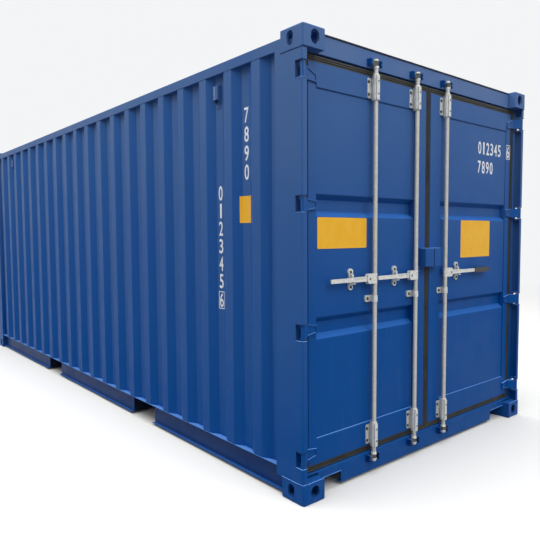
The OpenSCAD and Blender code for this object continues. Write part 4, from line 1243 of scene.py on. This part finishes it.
@dataclass
class CorrugatedWalls:
    """Bent steel sheets of both sides and of the closed end."""

    side_bend: float = 16.0
    end_bend: float = 11.0
    end_half: float = 1057.0
    end_face: float = 3021.0
    end_pitch: float = 250.0
    end_crest: float = 110.0
    end_slope: float = 18.0
    end_depth: float = 45.0
    end_crests: int = 8
    vent_round: float = 1.2

    def build(self) -> None:
        """Builds the three sheets and the vent covers."""
        for side, node in ((Side.LEFT, "left_side_wall"), (Side.RIGHT, "right_side_wall")):
            self.side_sheet(side, node)
        self.end_sheet()
        dress_solid("side_vents", VENT_PAINT, self.vent_round)

    def sheet(self, name: str, line: list[tuple[float, float]], face: float, bend: float) -> bpy.types.Object:
        """Bends one sheet whose crests look to +Y and whose height runs along Z."""
        middle = (WALL_BASE + WALL_TOP) / 2
        chain = [(x, face - SHEET / 2 + y, middle) for x, y in line]
        piece = grow(
            name,
            SheetTree,
            [chain],
            PAINT,
            Bend_Radius=bend * MM,
            Bend_Steps=4,
            Sheet_Thickness=SHEET * MM,
            Sheet_Width=(WALL_TOP - WALL_BASE) * MM,
        )
        return piece

    def side_sheet(self, side: Side, node: str) -> None:
        """Builds the sheet of one long side."""
        line = wave_line(
            (-POST_REAR_INNER_X, POST_FRONT_INNER_X),
            WALL_SHIFT,
            WALL_CRESTS,
            WALL_PITCH,
            WALL_CREST,
            WALL_SLOPE,
            WALL_DEPTH,
        )
        piece = self.sheet(f"{node}_sheet", line, WALL_FACE_Y, self.side_bend)
        if side is Side.LEFT:
            move(piece, Matrix.Scale(-1, 4, (0, 1, 0)))
        even_normals(piece, 40.0)
        settle(piece, "container", (node,))

    def end_sheet(self) -> None:
        """Builds the sheet of the closed end."""
        line = wave_line(
            (-self.end_half, self.end_half),
            0.0,
            self.end_crests,
            self.end_pitch,
            self.end_crest,
            self.end_slope,
            self.end_depth,
        )
        piece = self.sheet("rear_end_wall_sheet", line, self.end_face, self.end_bend)
        move(piece, Matrix.Rotation(math.radians(90), 4, "Z"))
        even_normals(piece, 40.0)
        settle(piece, "container", ("rear_end_wall",))


@dataclass
class RoofAndRails:
    """Pressed roof, the rails around it and the rails under the walls."""

    roof_round: float = 1.6
    rail_round: float = 6.0
    pressed_round: float = 1.6
    rail_shade: float = 163.0

    def build(self) -> None:
        """Builds the roof and all rails."""
        dress_solid("roof", ROOF_PAINT, self.roof_round, 2, 60.0)
        for node in ("top_side_rails", "rear_top_rail"):
            dress_solid(node, FRAME_PAINT, self.rail_round, 3)
        # Faces above this level take the painted highlight of the rail tops; the rest keep the painted shade
        # of the rails
        upper = ((RAIL_TOP_PAINT, lambda middle: middle.z > self.rail_shade),)
        for node in ("bottom_side_rails", "rear_bottom_rail"):
            dress_solid(node, SHADED_RAIL_PAINT, self.pressed_round, areas=upper)


@dataclass
class Underframe:
    """Floor boards with their screws, cross members and fork pockets."""

    board_round: float = 1.5
    steel_round: float = 1.2
    screw_rows: tuple[float, ...] = (90.0, 330.0, 570.0, 810.0, 1050.0)
    cross_pitch: float = 300.0
    cross_count: int = 9
    cross_flange: float = 45.0
    pocket_places: tuple[float, ...] = (-950.0, 1100.0)
    pocket_clear: float = 222.5
    floor_level: float = 170.0

    def build(self) -> None:
        """Builds the boards, the steel below them and the screws."""
        dress_solid("floor", PLYWOOD, self.board_round)
        for node in ("floor_cross_members", "fork_pockets"):
            dress_solid(node, UNDER_PAINT, self.steel_round)
        points = []
        for k in range(-self.cross_count, self.cross_count + 1):
            x = k * self.cross_pitch + self.cross_flange / 2
            if min(abs(x - place) for place in self.pocket_places) <= self.pocket_clear:
                continue
            for y in self.screw_rows:
                points += [[(x, y, self.floor_level)], [(x, -y, self.floor_level)]]
        screws = grow(
            "floor_screws",
            BoltTree,
            points,
            ZINC,
            Head_Radius=4.0 * MM,
            Head_Height=1.0 * MM,
            Head_Sides=12,
            Washer_Radius=6.5 * MM,
            Washer_Height=0.6 * MM,
        )
        settle(screws, "container")


@dataclass
class DoorFrame:
    """Header, sill, hinge pins and cam keepers of the door end, with their welds."""

    beam_round: float = 3.0
    pin_round: float = 2.0
    keeper_round: float = 1.5
    header_face: float = 2970.0
    header_top: float = 2583.0
    header_half: float = 1057.0
    seal: float = 6.0
    notch_edge: tuple[float, float, float] = (2973.0, 862.0, 91.0)
    notch_bead: float = 3.6

    def build(self) -> None:
        """Builds the beams, what is fixed on them, the dark navy line along the header's top and the notches'
        welds.
        """
        dress_solid("door_header", HEADER_PAINT, self.beam_round)
        dress_solid("door_sill", FRAME_PAINT, self.beam_round)
        dress_solid("hinge_pins", ZINC, self.pin_round)
        # The keepers take the darker rail paint: painted shade round the cams
        dress_solid("cam_keepers", SHADED_RAIL_PAINT, self.keeper_round)
        # A dark navy bead along the header's top edge
        x, z = self.header_face, self.header_top - 1.0
        seal = grow(
            "header_seal",
            BeadTree,
            [[(x, -self.header_half, z), (x, self.header_half, z)]],
            HEADER_LINE_FINISH,
            Bead_Radius=self.seal * MM,
            Ripple_Length=60.0 * MM,
            Ripple_Height=0.4 * MM,
        )
        even_normals(seal, 60.0)
        settle(seal, "container")
        # Bright beads on the sill's notch edges: painted highlights
        x, start, z = self.notch_edge
        end = HALF_WIDTH - CASTING_WIDTH
        chains = [[(x, sy * start, z), (x, sy * end, z)] for sy in (-1, 1)]
        welds = grow(
            "notch_beads",
            BeadTree,
            chains,
            BEAD_PAINT,
            Bead_Radius=self.notch_bead * MM,
            Ripple_Length=7.0 * MM,
        )
        even_normals(welds, 60.0)
        settle(welds, "container")


@dataclass
class DoorLeaf:
    """One door leaf: tube frame, bent panel, seal, hinges, lock brackets and lock cover."""

    side: Side
    rods: tuple[float, ...]
    retainers: tuple[float, ...]
    panel_outer: float = 1056.0
    panel_inner: float = 150.0
    panel_low: float = 326.0
    panel_high: float = 2297.0
    groove_levels: tuple[float, ...] = (958.0, 1652.0)
    groove_half: float = 63.0
    groove_slope: float = 30.0
    groove_depth: float = 36.0
    bend: float = 9.0
    bearing_levels: tuple[float, ...] = (251.0, 2359.0)
    bolt_rows: tuple[float, ...] = (-37.0, 37.0)
    bolt_column: float = -33.0
    sleeve_radius: float = 20.0
    rivet_turn: float = 0.0
    plate: float = 5.0
    bead: float = 3.5

    @property
    def name(self) -> str:
        """Name of the leaf and of its body."""
        return "left_door" if self.side is Side.LEFT else "right_door"

    def build(self) -> None:
        """Builds the leaf and all that is fixed on it."""
        word = self.name.split("_")[0]
        dress_solid(f"{self.name}_frame", DOOR_PAINT, 2.5)
        self.panel()
        dress_solid(f"{self.name}_gasket", RUBBER, 1.6, 2)
        dress_solid(f"{self.name}_hinges", HINGE_PAINT, 2.4)
        dress_solid(f"{word}_lock_brackets", ZINC, 1.0)
        dress_solid(f"{word}_lock_cover", HINGE_PAINT, 2.4)
        self.panel_beads()
        self.fasteners()

    def panel(self) -> None:
        """Bends the grooved sheet between the tubes of the frame."""
        line = [(self.panel_low, 0.0)]
        for level in self.groove_levels:
            line += [
                (level - self.groove_half, 0.0),
                (level - self.groove_half + self.groove_slope, -self.groove_depth),
                (level + self.groove_half - self.groove_slope, -self.groove_depth),
                (level + self.groove_half, 0.0),
            ]
        line.append((self.panel_high, 0.0))
        chain = [(z, PANEL_FACE_X - SHEET / 2 + x, 0.0) for z, x in line]
        piece = grow(
            f"{self.name}_panel_sheet",
            SheetTree,
            [chain],
            DOOR_PAINT,
            Bend_Radius=self.bend * MM,
            Bend_Steps=5,
            Sheet_Thickness=SHEET * MM,
            Sheet_Width=(self.panel_outer - self.panel_inner) * MM,
        )
        middle = self.side.value * (self.panel_outer + self.panel_inner) / 2 * MM
        # The line's X is the height and its Y is the way out of the container
        move(piece, Matrix(((0, 1, 0, 0), (0, 0, 1, middle), (1, 0, 0, 0), (0, 0, 0, 1))))
        even_normals(piece, 40.0)
        settle(piece, self.name, (f"{self.name}_panel",))

    def panel_beads(self) -> None:
        """Runs the welds between the sheet and the tubes above and below it: the lower one in painted
        highlight, the upper one in painted shadow.
        """
        side, x = self.side.value, PANEL_FACE_X + 2.0
        inner, outer = side * (self.panel_inner + 4.0), side * (self.panel_outer - 4.0)
        low, high = self.panel_low + 1.5, self.panel_high - 1.5
        rise = [(LEAF_FACE_X, side * self.panel_outer, high + dz) for dz in (34.0, 8.0)]
        for word, chain, finish in (
            ("lower", [(x, inner, low), (x, outer, low)], BEAD_PAINT),
            ("upper", rise + [(x, outer, high), (x, inner, high)], SHADOW_LINE_PAINT),
        ):
            bead = grow(
                f"{self.name}_{word}_bead",
                BeadTree,
                [chain],
                finish,
                Bead_Radius=self.bead * MM,
                Ripple_Length=7.0 * MM,
            )
            even_normals(bead, 60.0)
            settle(bead, self.name)

    def fasteners(self) -> None:
        """Sets the bolts of the bearings, the guides and the retainers, and the sleeves' rivets."""
        x = LEAF_FACE_X + self.plate
        turn = math.radians(self.rivet_turn)
        out = self.sleeve_radius - 0.6
        bolts, rivets = [], []
        for y in self.rods:
            guide = HANDLE_LEVEL - 124.0
            levels = [level + dz for level in self.bearing_levels for dz in self.bolt_rows]
            bolts += [[(x, y + self.bolt_column, level)] for level in levels]
            bolts.append([(x, y - 34.0, guide)])
            side = (ROD_X + out * math.cos(turn), y + out * math.sin(turn))
            rivets += [[(*side, level)] for level in levels]
        for y in self.retainers:
            bolts += [[(x, y, HANDLE_LEVEL + 45.0)], [(x, y, HANDLE_LEVEL - 44.0)]]
        for word, points, sides, size, about in (
            ("bolts", bolts, 6, 8.0, 0.0),
            ("rivets", rivets, 16, 6.0, turn),
        ):
            piece = grow(
                f"{self.name}_{word}",
                BoltTree,
                points,
                SHADED_BOLT_STEEL,
                Head_Radius=size * MM,
                Head_Height=size * 0.6 * MM,
                Head_Sides=sides,
                Washer_Radius=size * 1.2 * MM,
                Washer_Height=size * 0.2 * MM,
                Axis_Turn=(0.0, math.radians(90.0), about),
                Seed=11 + self.side.value,
            )
            settle(piece, self.name)


@dataclass
class LockGear:
    """Turning lock rods with their cams, and the handles that turn them."""

    rod_round: float = 1.2
    handle_round: float = 1.8
    cam_levels: tuple[float, float] = (117.0, 2494.0)
    cam_waist: float = 11.5
    pivot: float = 58.0
    pivot_end: float = 15.3
    pivot_head: float = 6.5

    def build(self) -> None:
        """Builds the rods, the handles, their pivots and the grip."""
        for number, y in enumerate(ROD_PLACES, 1):
            self.rod(number, y)
            dress_solid(f"lock_handle_{number}", ZINC, self.handle_round)
        dress_solid("handle_grip", GRIP, 4.0, 3)

    def rod(self, number: int, y: float) -> None:
        """Builds one rod: greyer tube, bright forgings, darker waists of the cams, pivot heads."""

        def on_tube(middle: Vector) -> bool:
            """Tells whether a face belongs to the tube."""
            return math.hypot(middle.x - ROD_X, middle.y - y) < TUBE_RADIUS + 0.2

        def in_waist(middle: Vector) -> bool:
            """Tells whether a face lies between the discs of a cam or under the top cam's cap."""
            low, high = self.cam_levels
            return abs(middle.z - low) < self.cam_waist or -self.cam_waist < middle.z - high < 22.0

        areas = ((TUBE_ZINC, on_tube), (DARK_WAIST_ZINC, in_waist))
        dress_solid(f"lock_rod_{number}", ZINC, self.rod_round, areas=areas)
        side = 1 if y > 0 else -1
        head = grow(
            f"lock_rod_{number}_pivot",
            BoltTree,
            [[(ROD_X + self.pivot_end, y + side * self.pivot, HANDLE_LEVEL)]],
            SHADED_BOLT_STEEL,
            Head_Radius=self.pivot_head * 0.7 * MM,
            Head_Height=1.6 * MM,
            Head_Sides=16,
            Washer_Radius=self.pivot_head * MM,
            Washer_Height=0.6 * MM,
            Axis_Turn=(0.0, math.radians(90.0), 0.0),
        )
        settle(head, f"rod_{number}")


@dataclass
class Marks:
    """Yellow signs without words and groups of plain numbers in their place."""

    film: float = 0.5
    digit_width: float = 42.0
    digit_height: float = 92.0
    row_pitch: float = 58.0
    column_pitch: float = 113.0
    box_width: float = 62.0
    box_height: float = 113.0
    line: float = 5.0
    first_column: float = WALL_SHIFT + 9 * WALL_PITCH + 5.0
    second_column: float = WALL_SHIFT + 8 * WALL_PITCH + 5.0

    def build(self) -> None:
        """Builds the signs and numbers of the doors and of the seen side."""
        self.sign("left_sign", "left_door", (-1042.0, 1408.0), (-622.0, 1586.0))
        self.sign("right_sign", "right_door", (427.0, 1315.0), (834.0, 1586.0))
        self.door_numbers()
        self.side_numbers()
        self.height_plate()

    def sign(self, name: str, body: str, low: Point, high: Point) -> None:
        """Sticks a plain yellow sign on a panel."""
        place = facing((1, 0, 0), (0, 1, 0), (PANEL_FACE_X, 0, 0))
        film = joined(name, [(plate_mesh(name, low, high, self.film, 8.0), place)], YELLOW)
        settle(film, body)

    def row(self, digits: str, start: Point, step: Point, frame_of: Callable) -> list:
        """Gives the placed meshes of a group of digits."""
        return [
            (
                digit_mesh(digit, self.digit_width, self.digit_height, self.film),
                frame_of(start[0] + i * step[0], start[1] + i * step[1]),
            )
            for i, digit in enumerate(digits)
        ]

    def box_ring(self, across: float, up: float) -> bpy.types.Mesh:
        """Makes the thin box round the last digit."""
        low = (across - self.box_width / 2, up - self.box_height / 2)
        high = (across + self.box_width / 2, up + self.box_height / 2)
        return plate_mesh("box", low, high, self.film, 3.0, self.line)

    def door_numbers(self) -> None:
        """Builds both number lines of the right leaf."""

        def on_panel(y: float, z: float) -> Matrix:
            """Gives the place of a mark on the right panel."""
            return facing((1, 0, 0), (0, 1, 0), (PANEL_FACE_X + self.film / 2, y, z))

        half = self.digit_width / 2
        parts = self.row("012345", (649.0 + half, 2131.0), (self.row_pitch, 0.0), on_panel)
        parts += self.row("7890", (646.0 + half, 1988.0), (self.row_pitch, 0.0), on_panel)
        settle(joined("door_numbers", parts, WHITE), "right_door")

        def on_frame(y: float, z: float) -> Matrix:
            """Gives the place of a mark on the right leaf's tube."""
            return facing((1, 0, 0), (0, 1, 0), (LEAF_FACE_X + self.film / 2, y, z))

        parts = self.row("6", (1087.0, 2132.0), (0.0, 0.0), on_frame)
        ring = self.box_ring(1087.0, 2132.0)
        parts.append((ring, facing((1, 0, 0), (0, 1, 0), (LEAF_FACE_X, 0, 0))))
        settle(joined("door_check_number", parts, WHITE), "right_door")

    def side_numbers(self) -> None:
        """Builds both number columns in the valleys of the seen side."""
        valley = -(WALL_FACE_Y - WALL_DEPTH)

        def in_valley(x: float, z: float) -> Matrix:
            """Gives the place of a mark in a valley of the wall."""
            return facing((0, -1, 0), (1, 0, 0), (x, valley - self.film / 2, z))

        half = self.digit_height / 2
        down = (0.0, -self.column_pitch)
        parts = self.row("7890", (self.first_column, 2251.0 - half), down, in_valley)
        parts += self.row("012345", (self.second_column, 1802.0 - half), down, in_valley)
        last = 1802.0 - half - 6 * self.column_pitch - 10.0
        parts += self.row("6", (self.second_column, last), down, in_valley)
        ring = self.box_ring(self.second_column, last)
        parts.append((ring, facing((0, -1, 0), (1, 0, 0), (0, valley, 0))))
        settle(joined("side_numbers", parts, WHITE), "container")

    def height_plate(self) -> None:
        """Builds the yellow film that follows the valley under the first number column."""
        middle, half, valley = WALL_SHIFT + 9 * WALL_PITCH, 55.0, 35.0
        rise = (half - valley) * WALL_DEPTH / WALL_SLOPE
        face = -(WALL_FACE_Y - WALL_DEPTH) - self.film / 2
        level = (1562.0 + 1724.0) / 2
        chain = [
            (middle - half, face - rise, level),
            (middle - valley, face, level),
            (middle + valley, face, level),
            (middle + half, face - rise, level),
        ]
        film = grow(
            "height_plate",
            SheetTree,
            [chain],
            YELLOW,
            Bend_Radius=14.0 * MM,
            Bend_Steps=4,
            Sheet_Thickness=self.film * MM,
            Sheet_Width=162.0 * MM,
        )
        even_normals(film, 40.0)
        settle(film, "container")


# Studio


@dataclass(frozen=True)
class PhotoCamera:
    """Camera at the viewing angle of the photograph, worked out from the corner castings."""

    place: tuple[float, float, float] = (5.1801, -3.2590, 1.4893)
    yaw: float = 139.94
    pitch: float = -3.613
    roll: float = -0.328
    lens: float = 37.24
    sensor: float = 36.0

    def build(self) -> None:
        """Makes the camera the scene's camera."""
        yaw, pitch, roll = (math.radians(a) for a in (self.yaw, self.pitch, self.roll))
        ahead = Vector(
            (
                math.cos(yaw) * math.cos(pitch),
                math.sin(yaw) * math.cos(pitch),
                math.sin(pitch),
            )
        )
        right = Vector((math.sin(yaw), -math.cos(yaw), 0.0))
        up = right.cross(ahead)
        turned_right = math.cos(roll) * right + math.sin(roll) * up
        turned_up = math.cos(roll) * up - math.sin(roll) * right
        data = bpy.data.cameras.new("camera")
        data.lens = self.lens
        data.sensor_width = self.sensor
        data.clip_end = 200.0
        camera = bpy.data.objects.new("camera", data)
        matrix = Matrix((turned_right, turned_up, -ahead)).transposed().to_4x4()
        matrix.translation = Vector(self.place)
        camera.matrix_world = matrix
        bpy.context.scene.collection.objects.link(camera)
        bpy.context.scene.camera = camera


def seen_rays(tree: bpy.types.NodeTree) -> bpy.types.NodeSocket:
    """Gives 1 where the background is looked at, also in a reflection, and 0 where it gives light."""
    path = add_node(tree, "ShaderNodeLightPath")
    seen = path.outputs["Is Camera Ray"]
    for name in ("Is Glossy Ray", "Is Transmission Ray"):
        seen = add_node(
            tree, "ShaderNodeMath", links={0: seen, 1: path.outputs[name]}, operation="MAXIMUM"
        ).outputs[0]
    return seen


@dataclass(frozen=True)
class Studio:
    """Pale floor, white surroundings and soft overcast light from above."""

    floor_half: float = 40.0
    floor_colour: str = "#e6e6e4"
    floor_shade: str = "#707070"
    background: str = "#f4f5f6"
    fade: tuple[float, float] = (4.5, 14.0)
    sky_low: float = 0.42
    sky_high: float = 1.1
    lamp_power: float = 1000.0
    door_share: float = 0.36

    def build(self) -> None:
        """Builds the floor, the world and the lamps."""
        scene = bpy.context.scene
        scene.view_settings.view_transform = "Standard"
        self.world(scene)
        self.floor()
        self.lamp("sky_panel", (0.0, -2.0, 9.0), (0.0, 0.0, 0.0), 10.0, self.lamp_power)
        door_power = self.lamp_power * self.door_share
        self.lamp("door_panel", (9.5, -1.0, 7.5), (2.0, 0.0, 1.2), 6.0, door_power)

    def world(self, scene: bpy.types.Scene) -> None:
        """Gives a white view behind the object and light that grows towards the zenith."""
        world = bpy.data.worlds.new("overcast")
        world.use_nodes = True
        tree = world.node_tree
        tree.nodes.clear()
        way = add_node(tree, "ShaderNodeTexCoord").outputs["Generated"]
        rise = add_node(tree, "ShaderNodeSeparateXYZ", links={0: way}).outputs["Z"]
        level = add_node(
            tree, "ShaderNodeMapRange", {3: self.sky_low, 4: self.sky_high}, {0: rise}, clamp=True
        )
        light = add_node(
            tree,
            "ShaderNodeBackground",
            {"Color": (1, 1, 1, 1)},
            {"Strength": level.outputs["Result"]},
        )
        view = add_node(
            tree, "ShaderNodeBackground", {"Color": srgb(self.background), "Strength": 1.0}
        )
        mix = add_node(
            tree,
            "ShaderNodeMixShader",
            links={0: seen_rays(tree), 1: light.outputs[0], 2: view.outputs[0]},
        )
        add_node(tree, "ShaderNodeOutputWorld", links={"Surface": mix.outputs[0]})
        scene.world = world

    def floor(self) -> None:
        """Lays the floor: pale to look at, greyer in the light it returns, white far away."""
        half = self.floor_half
        mesh = bpy.data.meshes.new("floor_plane")
        mesh.from_pydata(
            [(-half, -half, 0), (half, -half, 0), (half, half, 0), (-half, half, 0)], [], [(0, 1, 2, 3)]
        )
        material = bpy.data.materials.new("studio_floor")
        material.use_nodes = True
        tree = material.node_tree
        colour = add_node(
            tree,
            "ShaderNodeMix",
            {Mix.LOW: srgb(self.floor_shade), Mix.HIGH: srgb(self.floor_colour)},
            {Mix.FACTOR: seen_rays(tree)},
            data_type="RGBA",
        )
        shader = tree.nodes["Principled BSDF"]
        tree.links.new(colour.outputs[Mix.RESULT], shader.inputs["Base Color"])
        shader.inputs["Roughness"].default_value = 0.9
        place = add_node(tree, "ShaderNodeTexCoord").outputs["Object"]
        away = add_node(tree, "ShaderNodeVectorMath", links={0: place}, operation="LENGTH")
        far = add_node(
            tree,
            "ShaderNodeMapRange",
            {1: self.fade[0], 2: self.fade[1]},
            {0: away.outputs["Value"]},
            clamp=True,
        )
        share = add_node(
            tree,
            "ShaderNodeMath",
            links={0: far.outputs["Result"], 1: seen_rays(tree)},
            operation="MULTIPLY",
        )
        white = add_node(tree, "ShaderNodeEmission", {"Color": srgb(self.background)})
        mix = add_node(
            tree,
            "ShaderNodeMixShader",
            links={0: share.outputs[0], 1: shader.outputs[0], 2: white.outputs[0]},
        )
        tree.links.new(mix.outputs[0], tree.nodes["Material Output"].inputs["Surface"])
        mesh.materials.append(material)
        piece = link("studio_floor", mesh)

    def lamp(self, name: str, place: Point, target: Point, size: float, power: float) -> None:
        """Hangs a soft square lamp that looks at a target."""
        data = bpy.data.lights.new(name, "AREA")
        data.shape = "SQUARE"
        data.size = size
        data.energy = power
        lamp = bpy.data.objects.new(name, data)
        lamp.location = place
        lamp.rotation_euler = (Vector(target) - Vector(place)).to_track_quat("-Z", "Y").to_euler()
        bpy.context.scene.collection.objects.link(lamp)


def main() -> None:
    """Builds the object and its studio in order."""
    logging.basicConfig(level=logging.INFO, format="%(name)s %(message)s")
    PhotoCamera().build()
    Corners().build()
    CorrugatedWalls().build()
    RoofAndRails().build()
    Underframe().build()
    DoorFrame().build()
    DoorLeaf(Side.LEFT, ROD_PLACES[:2], (-774.0, -358.0)).build()
    DoorLeaf(Side.RIGHT, ROD_PLACES[2:], (358.0,)).build()
    LockGear().build()
    Marks().build()
    Studio().build()


if __name__ == "__main__":
    main()
